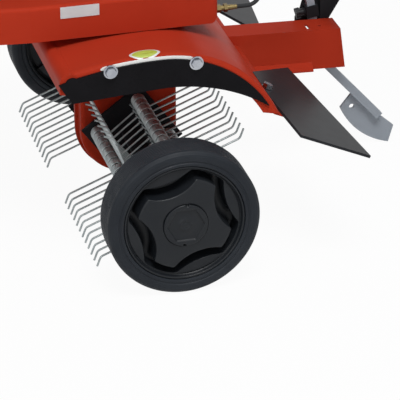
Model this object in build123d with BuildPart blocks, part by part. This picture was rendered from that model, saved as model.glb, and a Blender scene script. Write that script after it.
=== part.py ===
"""Walk-behind tiller fitted with a spring-tine moss reel and transport wheels.

Millimetres. X points forward, Y to the machine's left, Z up. The origin lies on the ground straight
below the middle of the reel axle. The engine shaft is upright: a belt under the deck drives an upright
worm shaft, whose worm turns the hexagonal reel axle inside a pressed gear case.
"""

import os
from math import acos, asin, atan2, cos, degrees, hypot, pi, radians, sin, sqrt, tan

from build123d import *

os.makedirs("parts", exist_ok=True)

# ---------------------------------------------------------------- shared fits
seat_gap = 0.2  # between pieces that lie against each other
run_gap = 0.05  # radial clearance of a shaft in its bush or bearing
free_gap = 0.5  # around bolts and through plates

# ---------------------------------------------------------------- wheels and axle
wheel_radius = 110.0
tyre_width = 55.0
tyre_shoulder = 8.0
rim_radius = 87.0
rim_wall = 4.0
track = 652.0
axle_height = wheel_radius
hex_flats = 22.0
stub_radius = 9.0
hub_radius = 16.0
hub_length = 48.0
cap_radius = 30.0
cap_depth = 20.0
cap_rise = 6.0
face_rise = 5.0
washer_thickness = 2.0
circlip_thickness = 1.5

# ---------------------------------------------------------------- reel
plate_side = 110.0
plate_thickness = 4.0
reel_start = 42.0
reel_tube_radius = 16.0
rod_circle = 54.0
rod_radius = 5.0
rod_overhang = 4.0
reel_angle = 8.8
springs_per_rod = 12
outer_collar = 23.9
wire_radius = 1.5
coil_radius = 9.5
coil_turns = 6
tine_bend = 4.0
bend_radius = 130.0
bend_lead = 43.2
tip_radius = 143.5
tip_lead = 40.0

# ---------------------------------------------------------------- gear case
case_radius = 73.0
case_wall = 2.5
case_half_width = 28.0
case_rim = 4.0
case_flange_width = 16.0
worm_radius = 12.0
worm_wheel_radius = 36.0
mesh_gap = 0.3
worm_length = 30.0
worm_shaft_radius = 5.0
bearing_width = 8.0
bearing_radius = 13.0
axle_bearing_radius = 24.0
axle_journal_radius = 15.0
sleeve_wall = 2.5

# ---------------------------------------------------------------- hood, skirts and flaps
hood_half_width = 280.0
hood_crown = 337.0
hood_sheet = 2.0
arch_radius = 186.0
arch_centre_x = 12.0
hood_front_x = 157.0
hood_front_z = 294.0
hood_nose_radius = 16.0
hood_rear_x = -154.0
hood_rear_z = 224.0
hood_edge_radius = 8.0
hood_lip = 20.0
hood_rear_flange = 20.0
skirt_sheet = 3.0
skirt_drop = 45.0
flap_sheet = 4.0
flap_half_width = 345.0
flap_run = 88.0
flap_start = 6.0
flap_angle = 24.0
flap_sweep = 16.0
flap_flare = 40.0
flap_top_inner = 136.0
flap_low_inner = 64.0
bolt_radius = 4.0
head_flats = 13.0
head_height = 5.3
plain_washer_radius = 10.0

# ---------------------------------------------------------------- rear beam and drag stake
beam_near_y = 14.0
beam_width = 42.0
beam_height = 64.0
beam_sheet = 2.5
beam_top_z = 236.0
beam_front_x = -case_radius - case_rim - seat_gap
beam_rear_x = -331.0
beam_fall = 2.2
stake_side = 12.0
stake_y = -36.0
stake_lean = 9.0
stake_knee_x = -312.0
stake_knee_z = 162.0
stake_top = 330.0
stake_foot_x = -411.0
stake_foot_z = 51.0
blade_sheet = 5.0
blade_hole_radius = 4.2

# ---------------------------------------------------------------- deck and belt drive
deck_half_width = 195.0
deck_rear_x = -92.0
deck_taper_x = 177.0
deck_front_x = 268.0
deck_front_half_width = 185.0
deck_corner = 35.0
deck_sheet = 2.5
deck_height = 53.0
floor_sheet = 3.0
driven_pulley_radius = 36.0
engine_pulley_radius = 24.0
belt_width = 9.0
belt_depth = 7.0
pulley_height = 15.0
engine_x = 110.0
crank_radius = 11.0
engine_bolt_circle = 106.0
idler_radius = 14.0

hood_gap = seat_gap
floor_z = hood_crown + hood_gap
belt_space_z = floor_z + floor_sheet
deck_top = floor_z + deck_height
worm_x = -(worm_radius + worm_wheel_radius + mesh_gap)
pulley_z = (belt_space_z + deck_top - deck_sheet) / 2


def keep(piece, node):
    """Labels a finished part builder and writes it as that node's STEP file."""
    piece.part.label = node
    export_step(piece.part, f"parts/{node}.step")


def across_axle(y):
    """Plane square to the reel axle at y, with local x forward and local y up from the ground."""
    return Plane(origin=(0, y, 0), x_dir=(1, 0, 0), z_dir=(0, -1, 0))


def polar(radius, angle):
    """Point at radius and angle in degrees."""
    return (radius * cos(radians(angle)), radius * sin(radians(angle)))


axle_axis = Axis((0, 0, axle_height), (0, 1, 0))


def wheel_section(side=1):
    """Half plane through the wheel, local x outward from the wheel's middle and local y out of the axle."""
    return Plane(origin=(0, side * track / 2, axle_height), x_dir=(0, side, 0), z_dir=(side, 0, 0))


# ================================================================ wheels
tyre_half = tyre_width / 2
hub_inner = -tyre_half + 1.5
hub_outer = hub_inner + hub_length
web_half = 2.0
face_outer = tyre_half + face_rise
face_sheet = 4.0
cap_outer = tyre_half + cap_rise
cap_hole = cap_radius + mesh_gap
stub_end = hub_outer + 2 * seat_gap + washer_thickness + circlip_thickness + 3.0
rim_edge = tyre_half - 3.0
cap_wall = 2.0


def make_wheel(side, name):
    """Writes the tyre, rim, cap, thrust washer of one wheel."""
    with BuildPart() as tyre:
        with BuildSketch(wheel_section(side)) as tread:
            with Locations((0, (wheel_radius + rim_radius) / 2)):
                Rectangle(tyre_width, wheel_radius - rim_radius)
            fillet(tread.vertices().group_by(Axis.Z)[-1], tyre_shoulder)
        revolve(axis=axle_axis)
    keep(tyre, f"tyre_{name}")

    with BuildPart() as rim:
        with BuildSketch(wheel_section(side)):
            with Locations((0, rim_radius - seat_gap / 2 - rim_wall / 2)):
                Rectangle(2 * rim_edge, rim_wall)
            with Locations(((hub_inner + hub_outer) / 2, (hub_radius + stub_radius + run_gap) / 2)):
                Rectangle(hub_length, hub_radius - stub_radius - run_gap)
            with Locations((0, (hub_radius + rim_radius - rim_wall) / 2)):
                Rectangle(2 * web_half, rim_radius - rim_wall - hub_radius + 1)
            with BuildLine():
                Polyline(
                    (face_outer, cap_hole),
                    (rim_edge, rim_radius - rim_wall / 2),
                    (rim_edge - face_sheet, rim_radius - rim_wall / 2),
                    (face_outer - face_sheet, cap_hole),
                    close=True,
                )
            make_face()
        revolve(axis=axle_axis)
    keep(rim, f"rim_{name}")

    with BuildPart() as cap:
        with BuildSketch(wheel_section(side)):
            with BuildLine():
                Polyline(
                    (web_half + seat_gap, cap_radius),
                    (cap_outer, cap_radius),
                    (cap_outer, 0),
                    (cap_outer - cap_wall, 0),
                    (cap_outer - cap_wall, cap_radius - cap_wall),
                    (web_half + seat_gap, cap_radius - cap_wall),
                    close=True,
                )
            make_face()
        revolve(axis=axle_axis)
        with BuildSketch(across_axle(side * (track / 2 + cap_outer))):
            with Locations((0, axle_height)):
                RegularPolygon(cap_radius * 0.62, 6)
                Circle(cap_radius * 0.2, mode=Mode.SUBTRACT)
        extrude(amount=-side * 1.2)
    keep(cap, f"hub_cap_{name}")


for side, name in ((1, "left"), (-1, "right")):
    make_wheel(side, name)

hex_end = track / 2 + hub_inner - mesh_gap
stub_tip = track / 2 + stub_end
with BuildPart() as axle:
    with BuildSketch(across_axle(hex_end)):
        with Locations((0, axle_height)):
            RegularPolygon(hex_flats / 2, 6, major_radius=False)
    extrude(amount=2 * hex_end)
    with BuildSketch(across_axle(stub_tip)):
        with Locations((0, axle_height)):
            Circle(stub_radius)
    extrude(amount=2 * stub_tip)
    chamfer(axle.faces().sort_by(Axis.Y)[0].edges() + axle.faces().sort_by(Axis.Y)[-1].edges(), 1.0)
keep(axle, "reel_axle")

washer_y = track / 2 + hub_outer + seat_gap
circlip_y = washer_y + washer_thickness + seat_gap

# ================================================================ reel
springs_start = reel_start + plate_thickness + seat_gap
hex_bore = hex_flats / 2 + run_gap
collar_end = hex_end - 1.0
reel_end = collar_end - outer_collar - seat_gap - plate_thickness
spring_pitch = (reel_end - springs_start) / springs_per_rod

for side, name in ((1, "left"), (-1, "right")):
    with BuildPart() as frame:
        for start in (reel_start, reel_end):
            with BuildSketch(across_axle(side * start)) as plate:
                with Locations((0, axle_height)):
                    Rectangle(plate_side, plate_side, rotation=45 + reel_angle)
                    with PolarLocations(rod_circle, 4, start_angle=reel_angle):
                        Circle(rod_radius + run_gap, mode=Mode.SUBTRACT)
            extrude(amount=-side * plate_thickness)
        with BuildSketch(across_axle(side * reel_start)):
            with Locations((0, axle_height)):
                Circle(reel_tube_radius)
        extrude(amount=-side * (reel_end + plate_thickness - reel_start))
        with BuildSketch(across_axle(side * reel_start)):
            with Locations((0, axle_height)):
                RegularPolygon(hex_bore, 6, major_radius=False)
        extrude(amount=-side * (reel_end + plate_thickness - reel_start), mode=Mode.SUBTRACT)
    keep(frame, f"reel_frame_{name}")

with BuildPart() as rods:
    for side in (1, -1):
        with BuildSketch(across_axle(side * (reel_start - rod_overhang))):
            with Locations((0, axle_height)):
                with PolarLocations(rod_circle, 4, start_angle=reel_angle):
                    Circle(rod_radius)
        extrude(amount=-side * (reel_end + plate_thickness - reel_start + 2 * rod_overhang))
    chamfer(rods.edges().filter_by(GeomType.CIRCLE), 0.8)
keep(rods, "spring_rods")

with BuildPart() as collars:
    for side in (1, -1):
        for start, end in (
            (case_half_width + 4.0, reel_start - seat_gap),
            (reel_end + plate_thickness + seat_gap, collar_end),
        ):
            with BuildSketch(across_axle(side * start)):
                with Locations((0, axle_height)):
                    Circle(reel_tube_radius)
                    RegularPolygon(hex_bore, 6, major_radius=False, mode=Mode.SUBTRACT)
            extrude(amount=-side * (end - start))
    for side in (1, -1):
        for start, thick, outer in (
            (washer_y, washer_thickness, 15.0),
            (circlip_y, circlip_thickness, 12.5),
        ):
            with BuildSketch(across_axle(side * start)):
                with Locations((0, axle_height)):
                    Circle(outer)
                    Circle(stub_radius, mode=Mode.SUBTRACT)
            extrude(amount=-side * thick)
keep(collars, "axle_collars")

# One spring, drawn about the axle with its rod at angle zero and its coil starting at y = 0.
rod_at = (rod_circle, 0)
bend_at = polar(bend_radius, bend_lead)
tip_at = polar(tip_radius, tip_lead)
reach = hypot(bend_at[0] - rod_circle, bend_at[1])
bend_bearing = degrees(atan2(bend_at[1], bend_at[0] - rod_circle))
leave_angle = bend_bearing + degrees(acos(coil_radius / reach))
tine_root = (
    rod_circle + coil_radius * cos(radians(leave_angle)),
    coil_radius * sin(radians(leave_angle)),
)
brace_radius = coil_radius + 2 * wire_radius + 0.4
rod_gap = rod_circle * sqrt(2)
brace_turn = degrees(asin((brace_radius - coil_radius) / rod_gap))
brace_bearing = 225.0 - brace_turn
brace_normal = radians(brace_bearing - 90)
brace_root = (
    rod_circle + coil_radius * cos(brace_normal),
    coil_radius * sin(brace_normal),
)
brace_end = (
    brace_root[0] + (rod_gap + 3.0) * cos(radians(brace_bearing)),
    brace_root[1] + (rod_gap + 3.0) * sin(radians(brace_bearing)),
)
coil_pitch = (spring_pitch - seat_gap) / coil_turns


def spring_plane(y):
    """Plane square to the reel at y, with the reel's centre as its origin."""
    return Plane(origin=(0, y, 0), x_dir=(1, 0, 0), z_dir=(0, -1, 0))


def make_spring(brace_y):
    """One spring: its coil, its tine at the outer end and its brace leg at brace_y."""
    with BuildPart() as spring:
        with BuildSketch(Plane.XY):
            with Locations((rod_circle + coil_radius, coil_turns * coil_pitch / 2)):
                Rectangle(2 * wire_radius, coil_turns * coil_pitch)
        revolve(axis=Axis((rod_circle, 0, 0), (0, 1, 0)))
        with BuildLine(spring_plane((coil_turns - 0.5) * coil_pitch)) as tine:
            FilletPolyline(tine_root, bend_at, tip_at, radius=tine_bend)
        with BuildSketch(Plane(origin=tine.line @ 0, z_dir=tine.line % 0)):
            Circle(wire_radius)
        sweep(path=tine.line)
        with BuildLine(spring_plane(brace_y)) as brace:
            Line(brace_root, brace_end)
        with BuildSketch(Plane(origin=brace.line @ 0, z_dir=brace.line % 0)):
            Circle(wire_radius)
        sweep(path=brace.line)
    return spring.part


# Braces of neighbouring rods cross, so every second rod has its braces one wire further out.
brace_ys = (coil_pitch / 2, coil_pitch / 2 + 2 * wire_radius + seat_gap)
left_springs = [make_spring(brace_y) for brace_y in brace_ys]
right_springs = [mirror(one_spring, about=Plane.XZ) for one_spring in left_springs]
for side, name, pair in ((1, "left", left_springs), (-1, "right", right_springs)):
    with BuildPart() as springs:
        for half, one_spring in enumerate(pair):
            places = [
                Location((0, side * (springs_start + number * spring_pitch), axle_height))
                * Location((0, 0, 0), (0, -reel_angle - 90 * rod, 0))
                for rod in (half, half + 2)
                for number in range(springs_per_rod)
            ]
            with Locations(*places):
                add(one_spring)
    keep(springs, f"tine_springs_{name}")

# ================================================================ gear case and worm drive
flange_sheet = 2.8
cap_sheet = 3.0
case_top = floor_z - seat_gap - cap_sheet - seat_gap
seam_gap = 0.1
seal_radius = 20.0
boss_wall = 4.0
bearing_outer_y = case_half_width - case_wall
bearing_inner_y = bearing_outer_y - bearing_width
case_bolt_rows = ((case_radius + case_flange_width / 2, 0), (0, case_half_width + case_flange_width / 2))


def case_outline(radius):
    """Draws a half round closed by an upright box that reaches the case top."""
    with Locations((0, axle_height)):
        Circle(radius)
    with Locations((0, (axle_height + case_top) / 2)):
        Rectangle(2 * radius, case_top - axle_height)


def make_case(side, name):
    """Writes one pressed half of the gear case, with its bearing cup, seam rim and top flange."""
    with BuildPart() as case:
        with BuildSketch(across_axle(side * case_half_width)):
            case_outline(case_radius)
        extrude(amount=side * (case_half_width - seam_gap))
        fillet(case.faces().sort_by(Axis.Y)[-1 if side > 0 else 0].edges().filter_by(GeomType.CIRCLE), 6)
        with BuildSketch(across_axle(side * seam_gap)):
            case_outline(case_radius - case_wall)
        extrude(amount=-side * (case_half_width - case_wall - seam_gap), mode=Mode.SUBTRACT)
        with BuildSketch(across_axle(side * seam_gap)):
            case_outline(case_radius + case_rim)
            case_outline(case_radius - case_wall)
            with Locations((0, axle_height)):
                Circle(case_radius - case_wall, mode=Mode.SUBTRACT)
            with Locations((0, (axle_height + case_top) / 2)):
                Rectangle(2 * (case_radius - case_wall), case_top - axle_height, mode=Mode.SUBTRACT)
        extrude(amount=-side * case_wall)
        with BuildSketch(Plane.XY.offset(case_top)):
            with Locations((0, side * (case_half_width + case_flange_width + seam_gap) / 2)):
                Rectangle(
                    2 * (case_radius + case_flange_width),
                    case_half_width + case_flange_width - seam_gap,
                )
            with Locations((0, side * (case_half_width - case_wall) / 2)):
                Rectangle(2 * (case_radius - case_wall), case_half_width - case_wall, mode=Mode.SUBTRACT)
        extrude(amount=-flange_sheet)
        with BuildSketch(across_axle(side * bearing_inner_y)):
            with Locations((0, axle_height)):
                Circle(axle_bearing_radius + boss_wall)
        extrude(amount=-side * bearing_width)
        with BuildSketch(across_axle(side * (bearing_inner_y - 1))):
            with Locations((0, axle_height)):
                Circle(axle_bearing_radius + run_gap)
        extrude(amount=-side * (bearing_width + 1), mode=Mode.SUBTRACT)
        with BuildSketch(across_axle(side * seam_gap)):
            with Locations((0, axle_height)):
                Circle(seal_radius + run_gap)
        extrude(amount=-side * (case_half_width + 1), mode=Mode.SUBTRACT)
        with Locations(*case_bolt_places(side)):
            Hole(bolt_radius + free_gap / 2, depth=20)
    keep(case, f"gear_case_{name}")


def case_bolt_places(side):
    """Places of the bolts through one half's top flange."""
    y = side * (case_half_width + case_flange_width / 2)
    return [Location((x, y, case_top + 5)) for x in (-case_radius * 0.75, case_radius * 0.75)]


for side, name in ((1, "left"), (-1, "right")):
    make_case(side, name)

sleeve_inner = bearing_radius + run_gap
sleeve_outer = sleeve_inner + sleeve_wall
worm_bottom = axle_height - worm_length / 2
lower_bearing_z = worm_bottom - 1.0 - bearing_width
upper_bearing_z = case_top - 14.0
with BuildPart() as case_cap:
    with BuildSketch(Plane.XY.offset(case_top + seat_gap)):
        Rectangle(2 * (case_radius + case_flange_width), 2 * (case_half_width + case_flange_width))
    extrude(amount=cap_sheet)
    with BuildSketch(Plane.XY.offset(lower_bearing_z - 2)):
        with Locations((worm_x, 0)):
            Circle(sleeve_outer)
    extrude(amount=case_top + seat_gap - lower_bearing_z + 2)
    with BuildSketch(Plane.XY.offset(lower_bearing_z)):
        with Locations((worm_x, 0)):
            Circle(sleeve_inner)
    extrude(amount=case_top + 10 - lower_bearing_z, mode=Mode.SUBTRACT)
    with Locations((worm_x, 0, lower_bearing_z)):
        Hole(worm_shaft_radius + 1, depth=10)
    with Locations((worm_x + sleeve_outer, 0, axle_height)):
        Box(2 * sleeve_outer - 6, 2 * sleeve_outer + 2, worm_length + 4, mode=Mode.SUBTRACT)
    with Locations(*case_bolt_places(1), *case_bolt_places(-1)):
        Hole(bolt_radius + free_gap / 2, depth=20)
keep(case_cap, "gear_case_cap")

with BuildPart() as worm_wheel:
    with BuildSketch(across_axle(worm_radius)):
        with Locations((0, axle_height)):
            Circle(worm_wheel_radius - 3)
            with PolarLocations(worm_wheel_radius - 2.5, 24):
                Rectangle(5, 4.6)
            Circle(worm_wheel_radius, mode=Mode.INTERSECT)
    extrude(amount=2 * worm_radius)
    with BuildSketch(across_axle(case_half_width + 3.0)):
        with Locations((0, axle_height)):
            Circle(axle_journal_radius)
    extrude(amount=2 * (case_half_width + 3.0))
    with BuildSketch(across_axle(case_half_width + 5.0)):
        with Locations((0, axle_height)):
            RegularPolygon(hex_bore, 6, major_radius=False)
    extrude(amount=2 * (case_half_width + 5.0), mode=Mode.SUBTRACT)
keep(worm_wheel, "worm_wheel")

with BuildPart() as bearings:
    for side in (1, -1):
        with BuildSketch(across_axle(side * bearing_inner_y)):
            with Locations((0, axle_height)):
                Circle(axle_bearing_radius)
                Circle(axle_journal_radius + run_gap, mode=Mode.SUBTRACT)
        extrude(amount=-side * (bearing_width - seat_gap))
    for start in (lower_bearing_z, upper_bearing_z):
        with BuildSketch(Plane.XY.offset(start + seat_gap)):
            with Locations((worm_x, 0)):
                Circle(bearing_radius)
                Circle(worm_shaft_radius + run_gap, mode=Mode.SUBTRACT)
        extrude(amount=bearing_width - 2 * seat_gap)
keep(bearings, "drive_bearings")

with BuildPart() as axle_seals:
    for side in (1, -1):
        with BuildSketch(across_axle(side * bearing_outer_y)):
            with Locations((0, axle_height)):
                Circle(seal_radius)
                Circle(axle_journal_radius + run_gap, mode=Mode.SUBTRACT)
        extrude(amount=-side * (case_wall + 1.0))
keep(axle_seals, "axle_seals")

pulley_bottom = pulley_z - pulley_height / 2
shaft_top = pulley_z + pulley_height / 2 + 4
with BuildPart() as worm_shaft:
    with BuildSketch(Plane.XY.offset(lower_bearing_z)):
        with Locations((worm_x, 0)):
            Circle(worm_shaft_radius)
    extrude(amount=shaft_top - lower_bearing_z)
    with BuildSketch(Plane.XZ.offset(0)):
        with Locations((worm_x + (worm_radius - 2) / 2, axle_height)):
            Rectangle(worm_radius - 2, worm_length)
        with Locations((worm_x + worm_radius - 2.5, axle_height)):
            with GridLocations(0, 6.0, 1, 5):
                RegularPolygon(2.5, 4)
    revolve(axis=Axis((worm_x, 0, 0), (0, 0, 1)))
keep(worm_shaft, "worm_shaft")


# ================================================================ hood, skirts and flaps
flange_slope = radians(flap_angle)
arch_centre_z = hood_crown - arch_radius
hood_hole = (2 * (case_radius + case_flange_width + free_gap), 2 * (case_half_width + case_flange_width + free_gap))
rear_foot_angle = degrees(atan2(hood_rear_z - arch_centre_z, hood_rear_x - arch_centre_x))


def arch_line(inset=0.0):
    """Draws the hood's outline seen from the side, moved inwards by inset, from front edge to rear edge."""
    radius = arch_radius - inset
    crown = (arch_centre_x, hood_crown - inset)
    rear = (
        arch_centre_x + radius * cos(radians(rear_foot_angle)),
        arch_centre_z + radius * sin(radians(rear_foot_angle)),
    )
    CenterArc((arch_centre_x, arch_centre_z), radius, 90, rear_foot_angle - 90)
    nose = (hood_front_x - inset, hood_front_z + hood_nose_radius - inset * 0.4)
    Line((hood_front_x - inset, hood_front_z), nose)
    brow = (hood_front_x - hood_nose_radius - 2 - inset * 0.8, hood_front_z + 2 * hood_nose_radius - 3 - inset)
    TangentArc(nose, brow, tangent=(0, 1))
    TangentArc(crown, brow, tangent=(1, 0))
    return rear


def arch_solid(inset, half_width, drop):
    """Solid under the arch, moved inwards by inset and carried drop below the hood's own edges."""
    with BuildPart() as solid:
        with BuildSketch(across_axle(half_width)):
            with BuildLine():
                foot = arch_line(inset)
                Polyline(
                    foot,
                    (foot[0], foot[1] - drop),
                    (hood_front_x - inset, hood_front_z - drop),
                    (hood_front_x - inset, hood_front_z),
                )
            make_face()
        extrude(amount=2 * half_width)
    return solid


def round_rims(solid, radius):
    """Rounds the long curved edges at both ends of an arch solid."""
    ends = solid.faces().filter_by(Plane.XZ)
    return fillet([edge for edge in ends.edges() if edge.geom_type == GeomType.CIRCLE and edge.radius > 50], radius)


hood_inside = arch_solid(hood_sheet, hood_half_width - hood_sheet, 30.0)
with hood_inside:
    round_rims(hood_inside, hood_edge_radius - hood_sheet)
lip_opening = arch_solid(hood_lip, hood_half_width + 1, 30.0)


def flap_plane(lift=0.0):
    """Plane of the hood's rear flange, local x down the slope and local y to the machine's right."""
    slope = (-cos(flange_slope), 0, -sin(flange_slope))
    normal = (-sin(flange_slope), 0, cos(flange_slope))
    origin = (hood_rear_x + lift * normal[0], 0, hood_rear_z + lift * normal[2])
    return Plane(origin=origin, x_dir=slope, z_dir=normal)


beam_notch_y = (beam_near_y - beam_width - free_gap, beam_near_y + free_gap)
beam_notch_width = beam_notch_y[1] - beam_notch_y[0]
beam_middle = sum(beam_notch_y) / 2
flap_bolt_places = [(hood_rear_flange / 2 + 1.5, side * y) for side in (1, -1) for y in (185.0,)]
spacer_x = (-62.0, 86.0)
spacer_y = 120.0


def arch_z(x, inset=0.0):
    """Height of the arch's rear circle at x."""
    return arch_centre_z + sqrt((arch_radius - inset) ** 2 - (x - arch_centre_x) ** 2)


def arch_or_crown(x):
    """Height of the hood's top at x, on the rear circle or on the gentler curve before the crown."""
    return arch_z(x) if x < arch_centre_x else hood_crown - (x - arch_centre_x) ** 2 / 920


with BuildPart() as hood:
    add(arch_solid(0, hood_half_width, seam_gap).part)
    round_rims(hood, hood_edge_radius)
    add(hood_inside.part, mode=Mode.SUBTRACT)
    add(lip_opening.part, mode=Mode.SUBTRACT)
    with BuildSketch(flap_plane(-hood_sheet)):
        with Locations((hood_rear_flange / 2 - 1, 0)):
            Rectangle(hood_rear_flange + 2, 2 * hood_half_width - 2 * hood_edge_radius)
    extrude(amount=hood_sheet)
    foot_x = arch_centre_x + arch_radius * cos(radians(rear_foot_angle))
    foot_z = arch_centre_z + arch_radius * sin(radians(rear_foot_angle))
    flange_z = hood_rear_z + (foot_x - hood_rear_x) * tan(flange_slope) - hood_sheet / 2
    with BuildSketch(across_axle(hood_half_width - hood_edge_radius)):
        Polygon(
            (foot_x, foot_z),
            (foot_x + hood_sheet, foot_z),
            (foot_x + hood_sheet, flange_z),
            (foot_x, flange_z),
            align=None,
        )
    extrude(amount=2 * (hood_half_width - hood_edge_radius))
    with Locations((0, 0, hood_crown)):
        Box(*hood_hole, 2 * hood_nose_radius + 20, mode=Mode.SUBTRACT)
    with Locations((hood_rear_x, sum(beam_notch_y) / 2, hood_rear_z)):
        Box(60, beam_notch_width, 64, mode=Mode.SUBTRACT)
    with Locations(flap_plane(1)):
        with Locations(*flap_bolt_places):
            Hole(bolt_radius + free_gap / 2, depth=8)
    with Locations(*[(x, side * spacer_y, hood_crown + 5) for x in spacer_x for side in (1, -1)]):
        Hole(bolt_radius + free_gap / 2, depth=60)
    skirt_bolt_spots = [(86.0, 322.0), (-36.0, arch_z(-36.0, 9.5))]
    for x, z in skirt_bolt_spots:
        with Locations(Location((x, 0, z), (90, 0, 0))):
            Cylinder(bolt_radius + free_gap / 2, 2 * hood_half_width + 20, mode=Mode.SUBTRACT)
keep(hood, "hood")

skirt_inset = 7.0
skirt_front = (140.0, 279.5)
skirt_corner = (hood_front_x + 2.0, hood_front_z + 15.0)
skirt_brow = (hood_front_x - 28.0, hood_front_z + 23.4)
skirt_belly = (20.0, 287.0)
skirt_tail = (-141.0, arch_z(-141.0, skirt_inset + 1.0))
for side, name in ((1, "left"), (-1, "right")):
    skirt_face = side * (hood_half_width + seat_gap)
    with BuildPart() as skirt:
        with BuildSketch(across_axle(skirt_face)):
            with BuildLine():
                foot = arch_line(skirt_inset)
                Polyline(foot, (foot[0], foot[1] - 60), (hood_front_x - skirt_inset, foot[1] - 60))
                Line(
                    (hood_front_x - skirt_inset, foot[1] - 60),
                    (hood_front_x - skirt_inset, hood_front_z),
                )
            make_face()
            with BuildLine():
                Polyline(
                    (hood_front_x - 30, hood_front_z + 20),
                    skirt_brow,
                    skirt_corner,
                    skirt_front,
                    (hood_front_x - 30, skirt_front[1]),
                    close=True,
                )
            make_face()
            with BuildLine():
                belly = TangentArc(skirt_belly, skirt_tail, tangent=(-1, 0.06))
                Polyline(
                    skirt_tail,
                    (skirt_tail[0] - 60, skirt_tail[1]),
                    (skirt_tail[0] - 60, 100),
                    (300, 100),
                    (300, hood_front_z),
                    (skirt_corner[0], skirt_corner[1]),
                    skirt_front,
                    skirt_belly,
                )
            make_face(mode=Mode.SUBTRACT)
        extrude(amount=-side * skirt_sheet)
        for x, z in skirt_bolt_spots:
            with Locations(Location((x, skirt_face, z), (90, 0, 0))):
                Cylinder(bolt_radius + free_gap / 2, 20, mode=Mode.SUBTRACT)
    keep(skirt, f"skirt_{name}")

for side, name in ((1, "left"), (-1, "right")):
    with BuildPart() as flap:
        with BuildSketch(flap_plane(seat_gap)):
            with BuildLine():
                Polyline(
                    (flap_start, -side * flap_top_inner - beam_middle),
                    (flap_start, -side * (hood_half_width - 60)),
                    (flap_sweep, -side * flap_half_width),
                    (flap_run + flap_flare, -side * flap_half_width),
                    (flap_run, -side * flap_low_inner - beam_middle),
                    close=True,
                )
            make_face()
        extrude(amount=flap_sheet)
        with Locations(flap_plane(20)):
            with Locations(*flap_bolt_places):
                Hole(bolt_radius + free_gap / 2, depth=40)
    keep(flap, f"rear_flap_{name}")

# ================================================================ rear beam, bracket and drag stake
fall = tan(radians(beam_fall))
ear_inner = case_half_width + seat_gap
ear_length = 40.0
beam_lip = 9.0
beam_lip_rise = 12.0
beam_lip_start = hood_rear_x - 12.0
beam_lip_end = -287.0
beam_far_y = beam_near_y - beam_width
beam_mid_y = (beam_near_y + beam_far_y) / 2


def beam_top(x):
    """Height of the beam's upper face at x."""
    return beam_top_z + (x - beam_front_x) * fall


def strip(front_x, rear_x, drop, height, rear_rake=0.0):
    """Draws a band that follows the beam's fall, its top drop below the beam's upper face."""
    Polygon(
        (front_x, beam_top(front_x) - drop),
        (rear_x, beam_top(rear_x) - drop),
        (rear_x - rear_rake, beam_top(rear_x) - drop - height),
        (front_x, beam_top(front_x) - drop - height),
        align=None,
    )


beam_rake = 8.0
with BuildPart() as beam:
    with BuildSketch(across_axle(beam_near_y)):
        strip(beam_front_x, beam_rear_x, 0, beam_height, beam_rake)
    extrude(amount=beam_sheet)
    with BuildSketch(across_axle(beam_near_y)):
        strip(beam_front_x, beam_rear_x, 0, beam_sheet)
    extrude(amount=beam_width)
    lip_foot = beam_top(beam_lip_start) - beam_height
    with BuildSketch(Plane(origin=(beam_lip_start, 0, 0), x_dir=(0, 1, 0), z_dir=(1, 0, 0))):
        Polygon(
            (beam_near_y - beam_sheet, lip_foot + beam_lip_rise),
            (beam_near_y, lip_foot + beam_lip_rise),
            (beam_near_y + beam_lip, lip_foot + beam_sheet),
            (beam_near_y + beam_lip, lip_foot),
            (beam_near_y - beam_sheet, lip_foot),
            align=None,
        )
    extrude(amount=beam_lip_start - beam_lip_end, dir=(-1, 0, -fall))
    with BuildSketch(across_axle(ear_inner + beam_sheet)):
        strip(beam_front_x, beam_front_x - beam_sheet, 0, beam_height)
    extrude(amount=2 * (ear_inner + beam_sheet))
    for side in (1, -1):
        with BuildSketch(across_axle(side * ear_inner)):
            strip(beam_front_x + ear_length, beam_front_x - beam_sheet, 12, beam_height - 24)
        extrude(amount=-side * beam_sheet)
    ear_bolt_spots = [(beam_front_x + 22.0, beam_top_z - 22.0), (beam_front_x + 22.0, beam_top_z - 42.0)]
    for x, z in ear_bolt_spots:
        with Locations(Location((x, 0, z), (90, 0, 0))):
            Cylinder(3.2, 4 * ear_inner, mode=Mode.SUBTRACT)
    with Locations((beam_rear_x + 48, -1, beam_top(beam_rear_x + 48))):
        Box(4, 16, 4 * beam_sheet, mode=Mode.SUBTRACT)
    with Locations((beam_rear_x + 28, -2, beam_top(beam_rear_x + 28))):
        Cylinder(2.6, 4 * beam_sheet, mode=Mode.SUBTRACT)
keep(beam, "rear_beam")

lean = radians(stake_lean)
stake_up = (sin(lean), 0, cos(lean))
knee = (stake_knee_x, stake_knee_z)
stake_head = (knee[0] + (stake_top - knee[1]) * sin(lean) / cos(lean), stake_top)
stake_foot = (stake_foot_x, stake_foot_z)
stake_slope = atan2(knee[1] - stake_foot[1], knee[0] - stake_foot[0])


def beside_stake(distance, along):
    """Point a distance across and along the stake's sloping part, measured from its foot."""
    x = stake_foot[0] + along * cos(stake_slope) + distance * sin(stake_slope)
    z = stake_foot[1] + along * sin(stake_slope) - distance * cos(stake_slope)
    return (x, z)


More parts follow.
